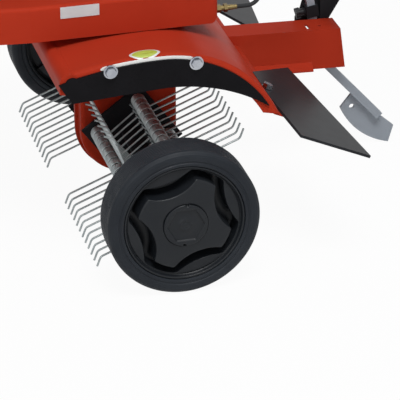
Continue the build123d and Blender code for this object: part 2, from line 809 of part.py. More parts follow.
blade_heel = (-430.0, 0.0)
with BuildPart() as stake:
    with BuildLine(across_axle(stake_y)) as bar_line:
        Polyline(stake_head, knee, stake_foot)
    with BuildSketch(Plane(origin=bar_line.line @ 0, z_dir=bar_line.line % 0)):
        Rectangle(stake_side, stake_side)
    sweep(path=bar_line.line, transition=Transition.RIGHT)
    with BuildSketch(across_axle(stake_y - stake_side / 2)):
        with BuildLine():
            blade_top = beside_stake(0, 58)
            blade_corner = beside_stake(34, 52)
            Polyline(beside_stake(0, 0), blade_top, blade_corner)
            ThreePointArc(blade_corner, (-394, 15.5), blade_heel)
            Polyline(blade_heel, (-438, 27), beside_stake(0, 0))
        make_face()
    extrude(amount=blade_sheet)
    hole_x, hole_z = beside_stake(20, 40)
    with Locations(Location((hole_x, stake_y, hole_z), (90, 0, 0))):
        Cylinder(blade_hole_radius, 40, mode=Mode.SUBTRACT)
keep(stake, "drag_stake")

strap_sheet = 3.0
strap_z = 240.0
strap_height = 18.0
strap_x = stake_head[0] - (stake_top - strap_z) * sin(lean) / cos(lean)
strap_bore = stake_side + 2 * mesh_gap
strap_outer = strap_bore + 2 * strap_sheet
knob_radius = 9.0
screw_radius = 3.0
strap_plane = Plane(origin=(strap_x, stake_y, strap_z), x_dir=(cos(lean), 0, -sin(lean)), z_dir=stake_up)
pivot_x = -334.0
pivot_z = 330.0
tube_radius = 12.5
ear_sheet = 4.0
back_plate_y = stake_y - strap_outer / 2 + 0.5
near_ear_y = beam_far_y - 1.0
pivot_boss = 18.0
cross_half = 46.0
disc_radius = 20.0
disc_sheet = 5.0
foot_rear = beam_rear_x + 3.0
foot_front = beam_rear_x + 19.0


def pivot_head():
    """Draws the rounded upper part of a bracket plate and its leaning rear edge."""
    Polyline(
        (foot_rear + 1, beam_top(foot_rear) - beam_sheet - seat_gap - ear_sheet),
        (foot_rear + 2, beam_top(foot_rear)),
        (pivot_x - 10, 256),
        (pivot_x - pivot_boss, pivot_z - 4),
        (pivot_x - pivot_boss, pivot_z + 6),
        (pivot_x - 6, pivot_z + pivot_boss),
        (pivot_x + 8, pivot_z + pivot_boss),
        (pivot_x + pivot_boss, pivot_z + 4),
    )


with BuildPart() as bracket:
    with BuildSketch(across_axle(back_plate_y)):
        with BuildLine():
            pivot_head()
            Polyline(
                (pivot_x + pivot_boss, pivot_z + 4),
                (strap_x + 8, 262),
                (strap_x + 14, 240),
                (strap_x + 22, 226),
                (strap_x + 22, 212),
                (foot_rear + 1, beam_top(foot_rear) - beam_sheet - seat_gap - ear_sheet),
            )
        make_face()
    extrude(amount=ear_sheet)
    with BuildSketch(across_axle(near_ear_y)):
        with BuildLine():
            pivot_head()
            Polyline(
                (pivot_x + pivot_boss, pivot_z + 4),
                (foot_front, 262),
                (foot_front, beam_top(foot_rear) - beam_sheet - seat_gap - ear_sheet),
                (foot_rear + 1, beam_top(foot_rear) - beam_sheet - seat_gap - ear_sheet),
            )
        make_face()
    extrude(amount=ear_sheet)
    with BuildSketch(across_axle(beam_mid_y)):
        strip(foot_front, foot_rear, beam_sheet + seat_gap, ear_sheet)
    extrude(amount=beam_mid_y - back_plate_y + ear_sheet)
    with BuildSketch(strap_plane.offset(-strap_height / 2)):
        Rectangle(strap_outer, strap_outer)
    extrude(amount=strap_height)
    with Locations(strap_plane):
        with Locations(Location((strap_outer / 2, 0, 0), (0, 90, 0))):
            Cylinder(6.0, 6.0)
            Cylinder(screw_radius + run_gap, 30, mode=Mode.SUBTRACT)
    with BuildSketch(strap_plane.offset(-strap_height)):
        Rectangle(strap_bore, strap_bore)
    extrude(amount=2 * strap_height, mode=Mode.SUBTRACT)
    with Locations(Location((pivot_x, beam_mid_y, pivot_z), (90, 0, 0))):
        Cylinder(tube_radius, 2 * cross_half)
    for side in (1, -1):
        with BuildSketch(across_axle(beam_mid_y + side * cross_half)):
            with Locations((pivot_x, pivot_z)):
                Circle(disc_radius)
        extrude(amount=-side * disc_sheet)
    with Locations(Location((pivot_x, beam_mid_y, pivot_z), (90, 0, 0))):
        Cylinder(bolt_radius + free_gap / 2, 4 * cross_half, mode=Mode.SUBTRACT)
keep(bracket, "handlebar_bracket")

knob_out = strap_outer / 2 + 3.0
with BuildPart() as knob:
    with Locations(strap_plane):
        with Locations(Location((strap_bore / 2 + 0.1, 0, 0), (0, 90, 0))):
            Cylinder(screw_radius, knob_out, align=(Align.CENTER, Align.CENTER, Align.MIN))
        with Locations(Location((knob_out + seat_gap, 0, 0), (0, 90, 0))):
            Cylinder(knob_radius * 0.6, 5, align=(Align.CENTER, Align.CENTER, Align.MIN))
        with Locations(Location((knob_out + seat_gap + 5, 0, 0), (0, 90, 0))):
            with PolarLocations(knob_radius * 0.55, 3):
                Cylinder(knob_radius * 0.45, 7, align=(Align.CENTER, Align.CENTER, Align.MIN))
            Cylinder(knob_radius * 0.6, 7, align=(Align.CENTER, Align.CENTER, Align.MIN))
keep(knob, "stake_knob")

# ================================================================ deck and belt drive
front_taper = deck_front_half_width


def deck_outline(inset):
    """Draws the deck seen from above, moved inwards by inset."""
    Polygon(
        (deck_rear_x + inset, deck_half_width - inset),
        (deck_taper_x, deck_half_width - inset),
        (deck_front_x - inset, deck_front_half_width - inset),
        (deck_front_x - inset, inset - deck_front_half_width),
        (deck_taper_x, inset - deck_half_width),
        (deck_rear_x + inset, inset - deck_half_width),
        align=None,
    )


deck_rear_corner = 8.0
deck_heel = 15.0
with BuildPart() as deck:
    with BuildSketch(Plane.XY.offset(floor_z + 1)) as outer:
        deck_outline(0)
        fillet(outer.vertices().group_by(Axis.X)[-1], deck_corner)
        fillet(outer.vertices().group_by(Axis.X)[0], deck_rear_corner)
    extrude(amount=deck_height - 1)
    fillet(deck.faces().sort_by(Axis.Z)[-1].edges(), 6)
    with BuildSketch(Plane.XY.offset(floor_z)) as inner:
        deck_outline(deck_sheet)
        fillet(inner.vertices().group_by(Axis.X)[-1], deck_corner - deck_sheet)
        fillet(inner.vertices().group_by(Axis.X)[0], deck_rear_corner - deck_sheet)
    extrude(amount=deck_height - deck_sheet, mode=Mode.SUBTRACT)
    with BuildSketch(across_axle(deck_half_width + 1)):
        with Locations((deck_rear_x, floor_z)):
            Rectangle(2 * deck_heel, 2 * deck_heel)
        with Locations((deck_rear_x + deck_heel, floor_z + deck_heel)):
            Circle(deck_heel, mode=Mode.SUBTRACT)
    extrude(amount=2 * deck_half_width + 2, mode=Mode.SUBTRACT)
    with Locations((engine_x, 0, deck_top)):
        Cylinder(crank_radius + 8, 20, mode=Mode.SUBTRACT)
        with PolarLocations(engine_bolt_circle, 4, start_angle=45):
            Cylinder(bolt_radius + free_gap / 2, 20, mode=Mode.SUBTRACT)
    adjuster_y = deck_half_width - 13.0
    adjuster_z = floor_z + 17.0
    with Locations(Location((deck_rear_x, adjuster_y, adjuster_z), (0, 90, 0))):
        Cylinder(4.2, 20, mode=Mode.SUBTRACT)
keep(deck, "deck_shell")

with BuildPart() as floor:
    with BuildSketch(Plane.XY.offset(floor_z)) as plate:
        deck_outline(deck_sheet + seat_gap)
        fillet(plate.vertices().group_by(Axis.X)[-1], deck_corner - deck_sheet)
        with Locations((deck_rear_x, 0)):
            Rectangle(2 * (deck_heel + 2), 2 * deck_half_width, mode=Mode.SUBTRACT)
        with Locations((worm_x, 0)):
            Circle(sleeve_outer + 1, mode=Mode.SUBTRACT)
        with Locations(*[(x, side * spacer_y) for x in spacer_x for side in (1, -1)]):
            Circle(bolt_radius + free_gap / 2, mode=Mode.SUBTRACT)
        with Locations(*[(place.position.X, place.position.Y) for side in (1, -1) for place in case_bolt_places(side)]):
            Circle(bolt_radius + free_gap / 2, mode=Mode.SUBTRACT)
    extrude(amount=floor_sheet)
keep(floor, "deck_floor")


def pulley(name, x, radius, bore, hub):
    """Writes one grooved pulley on an upright shaft."""
    with BuildPart() as wheel:
        with BuildSketch(Plane.XZ):
            with BuildLine():
                Polyline(
                    (x + bore, pulley_bottom),
                    (x + radius, pulley_bottom),
                    (x + radius, pulley_z - belt_width / 2 - seat_gap),
                    (x + radius - belt_depth, pulley_z - belt_width / 2 - seat_gap),
                    (x + radius - belt_depth, pulley_z + belt_width / 2 + seat_gap),
                    (x + radius, pulley_z + belt_width / 2 + seat_gap),
                    (x + radius, pulley_bottom + pulley_height),
                    (x + bore, pulley_bottom + pulley_height),
                    close=True,
                )
            make_face()
        revolve(axis=Axis((x, 0, 0), (0, 0, 1)))
    keep(wheel, name)


pulley("driven_pulley", worm_x, driven_pulley_radius, worm_shaft_radius, 12)
pulley("engine_pulley", engine_x, engine_pulley_radius, crank_radius, 16)


def belt_loop(extra):
    """Draws the outline that runs round both pulleys' groove floors, moved outwards by extra."""
    radii = (
        (worm_x, driven_pulley_radius - belt_depth + extra),
        (engine_x, engine_pulley_radius - belt_depth + extra),
    )
    with Locations((radii[0][0], 0)):
        Circle(radii[0][1])
    with Locations((radii[1][0], 0)):
        Circle(radii[1][1])
    make_hull()


with BuildPart() as belt:
    with BuildSketch(Plane.XY.offset(pulley_z - belt_width / 2)):
        belt_loop(belt_depth)
    extrude(amount=belt_width)
    with BuildSketch(Plane.XY.offset(pulley_z - belt_width / 2)):
        belt_loop(seat_gap)
    extrude(amount=belt_width, mode=Mode.SUBTRACT)
keep(belt, "drive_belt")

belt_run_slope = asin((driven_pulley_radius - engine_pulley_radius) / (engine_x - worm_x))
idler_x = 40.0
belt_run_y = (driven_pulley_radius + (worm_x - idler_x) * sin(belt_run_slope)) / cos(belt_run_slope)
belt_slack = 6.0
idler_y = belt_run_y + (idler_radius + mesh_gap + belt_slack) / cos(belt_run_slope)
arm_pivot = (-10.0, idler_y + 45.0)
arm_sheet = 4.0
arm_z = belt_space_z + 2.0
pin_radius = 4.0
arm_length = hypot(idler_x - arm_pivot[0], idler_y - arm_pivot[1])
arm_angle = degrees(atan2(idler_y - arm_pivot[1], idler_x - arm_pivot[0]))
arm_width = 20.0
arm_hook = 30.0
with BuildPart() as tension_arm:
    arm_plane = Plane(
        origin=(*arm_pivot, arm_z),
        x_dir=(cos(radians(arm_angle)), sin(radians(arm_angle)), 0),
        z_dir=(0, 0, 1),
    )
    with BuildSketch(arm_plane):
        with Locations(((arm_length - arm_hook) / 2, 0)):
            SlotCenterToCenter(arm_length + arm_hook, arm_width)
        Circle(pin_radius + run_gap, mode=Mode.SUBTRACT)
    extrude(amount=arm_sheet)
    with BuildSketch(arm_plane.offset(arm_sheet)):
        with Locations((arm_length, 0)):
            Circle(pin_radius)
    extrude(amount=pulley_bottom + pulley_height + 2 - arm_z - arm_sheet)
keep(tension_arm, "tension_arm")

with BuildPart() as idler:
    with BuildSketch(Plane.XY.offset(pulley_bottom)):
        with Locations((idler_x, idler_y)):
            Circle(idler_radius)
            Circle(pin_radius + run_gap, mode=Mode.SUBTRACT)
    extrude(amount=pulley_height)
keep(idler, "idler_pulley")

with BuildPart() as arm_post:
    with BuildSketch(Plane.XY.offset(belt_space_z)):
        with Locations(arm_pivot):
            Circle(pin_radius + 4)
    extrude(amount=arm_z - belt_space_z - seat_gap)
    with BuildSketch(Plane.XY.offset(belt_space_z)):
        with Locations(arm_pivot):
            Circle(pin_radius)
    extrude(amount=arm_z + arm_sheet + 6 - belt_space_z)
    with BuildSketch(Plane.XY.offset(arm_z + arm_sheet + seat_gap)):
        with Locations(arm_pivot):
            Circle(pin_radius + 4)
    extrude(amount=2)

# ================================================================ engine
engine_z = deck_top + seat_gap
engine_flange = 10.0
engine_flange_radius = 116.0
crankcase_side = 150.0
crankcase_height = 75.0
case_shell = 8.0
crankcase_top = engine_z + engine_flange + crankcase_height
barrel_front = engine_x + 128.0
fin_pitch = 9.0
fin_sheet = 3.5
fin_width = 118.0
fin_height = 66.0
barrel_z = crankcase_top - fin_height / 2 - 4
bore_radius = 29.0
oil_x = engine_x - 40.0
oil_z = engine_z + 34.0
with BuildPart() as engine_block:
    with BuildSketch(Plane.XY.offset(engine_z)):
        with Locations((engine_x, 0)):
            Circle(engine_flange_radius)
    extrude(amount=engine_flange)
    with BuildSketch(Plane.XY.offset(engine_z + engine_flange)):
        with Locations((engine_x, 0)):
            RectangleRounded(crankcase_side, crankcase_side, 24)
    extrude(amount=crankcase_height)
    with BuildSketch(Plane.YZ.offset(engine_x + crankcase_side / 2 - 12)):
        with Locations((0, barrel_z)):
            Circle(bore_radius + 7)
    extrude(amount=barrel_front - engine_x - crankcase_side / 2 + 12)
    for number in range(6):
        with BuildSketch(Plane.YZ.offset(barrel_front - fin_sheet - number * fin_pitch)):
            with Locations((0, barrel_z)):
                RectangleRounded(fin_width, fin_height, 8)
        extrude(amount=fin_sheet)
    with BuildSketch(Plane.YZ.offset(engine_x)):
        with Locations((0, barrel_z)):
            Circle(bore_radius)
    extrude(amount=barrel_front - engine_x, mode=Mode.SUBTRACT)
    with BuildSketch(Plane.XY.offset(engine_z + engine_flange)):
        with Locations((engine_x, 0)):
            Circle(crankcase_side / 2 - case_shell)
    extrude(amount=crankcase_height - case_shell, mode=Mode.SUBTRACT)
    with Locations((engine_x, 0, engine_z)):
        Cylinder(crank_radius + run_gap, 4 * crankcase_height, mode=Mode.SUBTRACT)
        with PolarLocations(engine_bolt_circle, 4, start_angle=45):
            Cylinder(bolt_radius + free_gap / 2, 40, mode=Mode.SUBTRACT)
    with Locations(Location((oil_x, crankcase_side / 2, oil_z), (90, 0, 0))):
        Cylinder(9, 20)
        Cylinder(7 + run_gap, 60, mode=Mode.SUBTRACT)
keep(engine_block, "engine_block")

head_depth = 24.0
cover_depth = 20.0
with BuildPart() as head:
    with BuildSketch(Plane.YZ.offset(barrel_front + seat_gap)):
        with Locations((0, barrel_z)):
            RectangleRounded(fin_width - 16, fin_height - 6, 8)
    extrude(amount=head_depth)
    with Locations(Location((barrel_front + head_depth / 2, 0, barrel_z + fin_height / 2), (0, 0, 0))):
        Cylinder(5.1, 2 * 24, mode=Mode.SUBTRACT)

with BuildPart() as rocker_cover:
    with BuildSketch(Plane.YZ.offset(barrel_front + head_depth + 2 * seat_gap)):
        with Locations((0, barrel_z)):
            RectangleRounded(fin_width - 30, fin_height - 14, 10)
    extrude(amount=cover_depth)
    fillet(rocker_cover.faces().sort_by(Axis.X)[-1].edges(), 7)
with head:
    add(rocker_cover.part)
keep(head, "cylinder_head")

plug_x = barrel_front + head_depth / 2
plug_z = barrel_z + fin_height / 2 - 3
with BuildPart() as spark_plug:
    with Locations((plug_x, 0, plug_z - 18)):
        Cylinder(5.0, 20, align=(Align.CENTER, Align.CENTER, Align.MIN))
    with BuildSketch(Plane.XY.offset(plug_z + seat_gap)):
        with Locations((plug_x, 0)):
            RegularPolygon(8, 6, major_radius=False)
    extrude(amount=7)
    with Locations((plug_x, 0, plug_z + 7)):
        Cylinder(4.5, 18, align=(Align.CENTER, Align.CENTER, Align.MIN))

with BuildPart() as plug_boot:
    with Locations((plug_x, 0, plug_z + 10)):
        Cylinder(9, 24, align=(Align.CENTER, Align.CENTER, Align.MIN))
        Cylinder(4.5 + run_gap, 15.5, align=(Align.CENTER, Align.CENTER, Align.MIN), mode=Mode.SUBTRACT)
    fillet(plug_boot.faces().sort_by(Axis.Z)[-1].edges(), 5)
with spark_plug:
    add(plug_boot.part)
keep(spark_plug, "spark_plug")

flywheel_radius = 82.0
flywheel_gap = 6.0
flywheel_z = crankcase_top + flywheel_gap
flywheel_height = 34.0
with BuildPart() as crankshaft:
    with Locations((engine_x, 0, pulley_bottom - 4)):
        Cylinder(crank_radius, flywheel_z + flywheel_height - pulley_bottom + 12, align=(Align.CENTER, Align.CENTER, Align.MIN))
    with Locations((engine_x, 0, engine_z + engine_flange + 6)):
        Cylinder(34, 10, align=(Align.CENTER, Align.CENTER, Align.MIN))
keep(crankshaft, "crankshaft")

with BuildPart() as flywheel:
    with Locations((engine_x, 0, flywheel_z)):
        Cylinder(flywheel_radius, 14, align=(Align.CENTER, Align.CENTER, Align.MIN))
        with PolarLocations(flywheel_radius - 16, 16):
            Box(26, 2.5, flywheel_height, align=(Align.CENTER, Align.CENTER, Align.MIN))
        Cylinder(20, flywheel_height, align=(Align.CENTER, Align.CENTER, Align.MIN))
        Cylinder(crank_radius, 3 * flywheel_height, mode=Mode.SUBTRACT)
keep(flywheel, "flywheel_fan")

shroud_radius = 98.0
shroud_sheet = 2.5
shroud_bottom = crankcase_top + seat_gap
shroud_top = flywheel_z + flywheel_height + 20
snout_width = 128.0
with BuildPart() as shroud:
    with BuildSketch(Plane.XY.offset(shroud_bottom)):
        with Locations((engine_x, 0)):
            Circle(shroud_radius)
        with Locations((engine_x + 58, 0)):
            Rectangle(116, snout_width)
    extrude(amount=shroud_top - shroud_bottom)
    fillet(shroud.faces().sort_by(Axis.Z)[-1].edges(), 14)
    with BuildSketch(Plane.XY.offset(shroud_bottom)):
        with Locations((engine_x, 0)):
            Circle(shroud_radius - shroud_sheet)
        with Locations((engine_x + 58, 0)):
            Rectangle(116 - 2 * shroud_sheet, snout_width - 2 * shroud_sheet)
    extrude(amount=shroud_top - shroud_bottom - 12, mode=Mode.SUBTRACT)
    with BuildSketch(Plane.XY.offset(shroud_bottom)):
        with Locations((engine_x, 0)):
            Circle(60)
    extrude(amount=2 * (shroud_top - shroud_bottom), mode=Mode.SUBTRACT)
keep(shroud, "blower_housing")

recoil_height = 26.0
with BuildPart() as recoil:
    with Locations((engine_x, 0, shroud_top + seat_gap)):
        Cylinder(72, recoil_height, align=(Align.CENTER, Align.CENTER, Align.MIN))
    fillet(recoil.faces().sort_by(Axis.Z)[-1].edges(), 10)
    with Locations((engine_x, 0, shroud_top)):
        Cylinder(66, recoil_height - 4, align=(Align.CENTER, Align.CENTER, Align.MIN), mode=Mode.SUBTRACT)
        with PolarLocations(46, 12):
            Box(22, 5, 3 * recoil_height, mode=Mode.SUBTRACT)
keep(recoil, "recoil_cover")

grip_y = 86.0
with BuildPart() as starter_grip:
    with Locations(Location((engine_x - 20, 72 + 6, shroud_top + recoil_height / 2), (90, 0, 0))):
        Cylinder(4, 14)
    with Locations(Location((engine_x - 20, grip_y + 4, shroud_top + recoil_height / 2), (0, 90, 0))):
        Cylinder(8, 60)
    fillet(starter_grip.edges().filter_by(GeomType.CIRCLE).filter_by(lambda edge: edge.radius > 7), 3)

tank_x = -35.0
tank_length = 84.0
tank_width = 190.0
tank_bottom = engine_z + 14
tank_height = 92.0
filler_x = tank_x - 6
filler_y = 50.0
filler_radius = 17.0
with BuildPart() as tank:
    with BuildSketch(Plane.XY.offset(tank_bottom)):
        with Locations((tank_x, 0)):
            RectangleRounded(tank_length, tank_width, 20)
    extrude(amount=tank_height)
    fillet(tank.faces().sort_by(Axis.Z)[-1].edges(), 16)
    with BuildSketch(Plane.XY.offset(tank_bottom + 3)):
        with Locations((tank_x, 0)):
            RectangleRounded(tank_length - 6, tank_width - 6, 17)
    extrude(amount=tank_height - 14, mode=Mode.SUBTRACT)
    with Locations((filler_x, filler_y, tank_bottom + tank_height - 4)):
        Cylinder(filler_radius, 16, align=(Align.CENTER, Align.CENTER, Align.MIN))
        Cylinder(filler_radius - 3, 40, mode=Mode.SUBTRACT)
    for side in (1, -1):
        with Locations((tank_x, side * (tank_width / 2 - 30), engine_z)):
            Box(30, 24, 14.2, align=(Align.CENTER, Align.CENTER, Align.MIN))
keep(tank, "fuel_tank")

with BuildPart() as fuel_cap:
    cap_z = tank_bottom + tank_height + 12 - 8
    with Locations((filler_x, filler_y, cap_z)):
        Cylinder(filler_radius + 5, 16, align=(Align.CENTER, Align.CENTER, Align.MIN))
        with PolarLocations(filler_radius + 5, 12):
            Cylinder(1.6, 16, align=(Align.CENTER, Align.CENTER, Align.MIN))
        Cylinder(filler_radius + mesh_gap, 8 + seat_gap, align=(Align.CENTER, Align.CENTER, Align.MIN), mode=Mode.SUBTRACT)
    fillet(fuel_cap.faces().sort_by(Axis.Z)[-1].edges(), 1.2)
keep(fuel_cap, "fuel_cap")

with BuildPart() as oil_cap:
    with Locations(Location((oil_x, crankcase_side / 2 + 10 + seat_gap, oil_z), (-90, 0, 0))):
        Cylinder(12, 8, align=(Align.CENTER, Align.CENTER, Align.MIN))
        Box(5, 20, 14, align=(Align.CENTER, Align.CENTER, Align.MIN))
    with Locations(Location((oil_x, crankcase_side / 2 + 10 + seat_gap, oil_z), (90, 0, 0))):
        Cylinder(7, 18, align=(Align.CENTER, Align.CENTER, Align.MIN))
with starter_grip:
    add(oil_cap.part)
keep(starter_grip, "engine_trim")

muffler_size = (100.0, 46.0, 56.0)
muffler_at = (engine_x + 70, crankcase_side / 2 + 12 + muffler_size[1] / 2, engine_z + 46)
with BuildPart() as muffler:
    with Locations(muffler_at):
        Box(*muffler_size)
    fillet(muffler.edges(), 9)
    with Locations(Location((engine_x + 50, crankcase_side / 2 + seat_gap, muffler_at[2]), (90, 0, 0))):
        Cylinder(11, 26, align=(Align.CENTER, Align.CENTER, Align.MAX))
    with Locations(Location((muffler_at[0] + muffler_size[0] / 2 - 16, muffler_at[1] + muffler_size[1] / 2, muffler_at[2] - 8), (90, 0, 0))):
        Cylinder(8, 8)
        Cylinder(6, 30, mode=Mode.SUBTRACT)

guard_gap = 7.0
with BuildPart() as guard:
    with Locations((muffler_at[0], muffler_at[1] + 4, muffler_at[2] + 4)):
        Box(muffler_size[0] + 2 * guard_gap, muffler_size[1] + guard_gap, muffler_size[2] + guard_gap)
    fillet(guard.edges().filter_by(Axis.X).group_by(Axis.Y)[-1], 10)
    with Locations((muffler_at[0], muffler_at[1] - 6, muffler_at[2] - 6)):
        Box(muffler_size[0] + 2 * guard_gap - 4, muffler_size[1] + guard_gap + 14, muffler_size[2] + guard_gap + 14, mode=Mode.SUBTRACT)
    with Locations(Location((muffler_at[0], muffler_at[1] + 20, muffler_at[2] + 3), (90, 0, 0))):
        with GridLocations(14, 22, 6, 2):
            Box(7, 14, 60, mode=Mode.SUBTRACT)
with muffler:
    add(guard.part)
keep(muffler, "muffler")

carburettor_y = -crankcase_side / 2
with BuildPart() as carburettor:
    with Locations((engine_x + 30, carburettor_y - 18 - seat_gap, engine_z + 56)):
        Box(40, 36, 36)
    fillet(carburettor.edges().filter_by(Axis.Y), 5)
    with Locations((engine_x + 30, carburettor_y - 20, engine_z + 30)):
        Cylinder(15, 20)
keep(carburettor, "carburettor")

filter_depth = 44.0
with BuildPart() as air_filter:
    with Locations((engine_x + 30, carburettor_y - 36 - 2 * seat_gap - filter_depth / 2, engine_z + 56)):
        Box(96, filter_depth, 84)
    fillet(air_filter.faces().sort_by(Axis.Y)[0].edges(), 14)
keep(air_filter, "air_filter")

# ================================================================ handlebar and controls
bar_lean = 55.0
bar_inner_y = cross_half + 2 * disc_sheet + seat_gap + tube_radius - 1.5
tube_wall = 1.5
bar_bend_x = -700.0
bar_bend_radius = 60.0
bar_end_x = -905.0
bar_end_z = 900.0
bar_half_y = 240.0
bar_bend_z = pivot_z + (pivot_x - bar_bend_x) * tan(radians(bar_lean))
straight_up = 70.0
bar_knee = (
    pivot_x - straight_up * cos(radians(bar_lean)),
    pivot_z + straight_up * sin(radians(bar_lean)),
)


def bar_points(side):
    """Corner points of one handlebar tube, from its lower end to its grip end."""
    inner_y = beam_mid_y + side * bar_inner_y
    low = 14.0
    return [
        (pivot_x + low * cos(radians(bar_lean)), inner_y, pivot_z - low * sin(radians(bar_lean))),
        (bar_knee[0], inner_y, bar_knee[1]),
        (bar_bend_x, side * bar_half_y, bar_bend_z),
        (bar_end_x, side * bar_half_y, bar_end_z),
    ]


def along_bar(side, section, distance):
    """Point on one tube's middle line, distance along from the start of a straight section."""
    start, end = bar_points(side)[section : section + 2]
    span = [end[axis] - start[axis] for axis in range(3)]
    size = sqrt(sum(part * part for part in span))
    return tuple(start[axis] + span[axis] * distance / size for axis in range(3))


def bar_direction(side, section):
    """Unit direction of one straight section of a tube."""
    start, end = bar_points(side)[section : section + 2]
    span = [end[axis] - start[axis] for axis in range(3)]
    size = sqrt(sum(part * part for part in span))
    return tuple(part / size for part in span)


for side, name in ((1, "left"), (-1, "right")):
    with BuildPart() as tube:
        with BuildLine() as route:
            FilletPolyline(*bar_points(side), radius=bar_bend_radius)
        with BuildSketch(Plane(origin=route.line @ 0, z_dir=route.line % 0)):
            Circle(tube_radius)
            Circle(tube_radius - tube_wall, mode=Mode.SUBTRACT)
        sweep(path=route.line)
        with BuildSketch(across_axle(beam_mid_y + side * (cross_half + disc_sheet + seat_gap))):
            with Locations((pivot_x, pivot_z)):
                Circle(disc_radius)
        extrude(amount=-side * disc_sheet)
        with Locations(Location((pivot_x, beam_mid_y + side * bar_inner_y, pivot_z), (90, 0, 0))):
            Cylinder(bolt_radius + free_gap / 2, 4 * tube_radius, mode=Mode.SUBTRACT)
    keep(tube, f"handlebar_{name}")

brace_at = 300.0
brace_radius_tube = 8.0
brace_ends = [along_bar(side, 1, brace_at) for side in (1, -1)]
with BuildPart() as bar_brace:
    brace_span = brace_ends[0][1] - brace_ends[1][1]
    brace_mid_y = (brace_ends[0][1] + brace_ends[1][1]) / 2
    brace_x = (brace_ends[0][0] + brace_ends[1][0]) / 2
    brace_z = (brace_ends[0][2] + brace_ends[1][2]) / 2
    with Locations(Location((brace_x, brace_mid_y, brace_z), (90, 0, 0))):
        Cylinder(brace_radius_tube, brace_span)
    for side in (1, -1):
        with BuildSketch(Plane(origin=along_bar(side, 1, brace_at - 45), z_dir=bar_direction(side, 1))):
            Circle(tube_radius + seat_gap)
        extrude(amount=90, mode=Mode.SUBTRACT)
keep(bar_brace, "handlebar_brace")

grip_length = 120.0
grip_radius = 16.5
last_span = sqrt(sum((bar_points(1)[3][axis] - bar_points(1)[2][axis]) ** 2 for axis in range(3)))
with BuildPart() as grips:
    for side in (1, -1):
        grip_start = along_bar(side, 2, last_span - grip_length + 4)
        with BuildSketch(Plane(origin=grip_start, z_dir=bar_direction(side, 2))):
            Circle(grip_radius)
        extrude(amount=grip_length)
        with BuildSketch(Plane(origin=grip_start, z_dir=bar_direction(side, 2))):
            Circle(tube_radius + seat_gap / 2)
        extrude(amount=grip_length - 3.5, mode=Mode.SUBTRACT)
keep(grips, "handlebar_grips")

# The clutch lever hangs below the left grip on a clamp; the throttle lever stands on the right tube.
mount_at = last_span - grip_length - 22.0
mount_width = 22.0
mount_wall = 3.0
lever_drop = 34.0
lever_sheet = 4.0
lever_length = 120.0
lever_pin_radius = 3.0


def mount_plane(side, distance=mount_at):
    """Plane across one tube at its lever mount: local x to the machine's left, local y upwards, local z along the tube."""
    ahead = bar_direction(side, 2)
    return Plane(origin=along_bar(side, 2, distance), x_dir=(0, 1, 0), z_dir=ahead)


ahead = bar_direction(1, 2)
above = (ahead[2], 0.0, -ahead[0])
pin_point = tuple(along_bar(1, 2, mount_at)[axis] - lever_drop * above[axis] for axis in range(3))
with BuildPart() as lever_mounts:
    for side in (1, -1):
        with BuildSketch(mount_plane(side).offset(-mount_width / 2)):
            Circle(tube_radius + mount_wall)
            Circle(tube_radius + seat_gap / 2, mode=Mode.SUBTRACT)
        extrude(amount=mount_width)
    clutch_side = Plane(origin=pin_point, x_dir=ahead, z_dir=(0, -1, 0))
    for start in (lever_sheet / 2 + seat_gap, -lever_sheet / 2 - seat_gap - 3.0):
        with BuildSketch(clutch_side.offset(start)):
            with Locations((0, -6.25)):
                Rectangle(18, 26.5)
            Circle(lever_pin_radius + run_gap, mode=Mode.SUBTRACT)
        extrude(amount=3.0)
    throttle_point = tuple(
        along_bar(-1, 2, mount_at)[axis] + (tube_radius + mount_wall - 1) * above[axis] for axis in range(3)
    )
    with BuildSketch(Plane(origin=throttle_point, x_dir=(0, 1, 0), z_dir=above)):
        RectangleRounded(26, 40, 5)
    extrude(amount=12)
keep(lever_mounts, "lever_mounts")

with BuildPart() as clutch_lever:
    with BuildSketch(clutch_side.offset(-lever_sheet / 2)):
        with BuildLine():
            blade = Polyline((0, 0), (20, 8), (50, 30), (lever_length, 36))
            offset(blade, amount=5)
        make_face()
        with Locations((-8, 4)):
            SlotCenterToCenter(20, 9, rotation=-25)
    extrude(amount=lever_sheet)
    with BuildSketch(clutch_side.offset(-10)):
        Circle(lever_pin_radius)
    extrude(amount=20)
keep(clutch_lever, "clutch_lever")

throttle_plane = Plane(
    origin=tuple(throttle_point[axis] + 12 * above[axis] + (seat_gap + 0.1) * above[axis] for axis in range(3)),
    x_dir=(0, 1, 0),
    z_dir=above,
)
with BuildPart() as throttle_lever:
    with BuildSketch(throttle_plane):
        SlotCenterToCenter(0.02, 16)
        with Locations((0, 18)):
            RectangleRounded(9, 40, 4)
    extrude(amount=4)
    with BuildSketch(throttle_plane.offset(4)):
        with Locations((0, 34)):
            RectangleRounded(14, 16, 4)
    extrude(amount=9)
keep(throttle_lever, "throttle_lever")

# ================================================================ cables
sheath_radius = 3.0
adjuster_radius = 4.0
adjuster_nut_flats = 11.0
with BuildPart() as adjuster:
    with Locations(Location((deck_rear_x - 24, adjuster_y, adjuster_z), (0, 90, 0))):
        Cylinder(adjuster_radius, 34, align=(Align.CENTER, Align.CENTER, Align.MIN))
    for start, thick in (
        (deck_rear_x - 6 - seat_gap, 6.0),
        (deck_rear_x - 16, 5.0),
        (deck_rear_x + deck_sheet + seat_gap, 4.0),
    ):
        with BuildSketch(Plane.YZ.offset(start)):
            with Locations((adjuster_y, adjuster_z)):
                RegularPolygon(adjuster_nut_flats / 2, 6, major_radius=False)
        extrude(amount=thick)
    with Locations(Location((deck_rear_x - 30, adjuster_y, adjuster_z), (0, 90, 0))):
        Cylinder(3.4, 8, align=(Align.CENTER, Align.CENTER, Align.MIN))
    with Locations(Location((deck_rear_x, adjuster_y, adjuster_z), (0, 90, 0))):
        Cylinder(1.2, 100, mode=Mode.SUBTRACT)
keep(adjuster, "cable_adjuster")

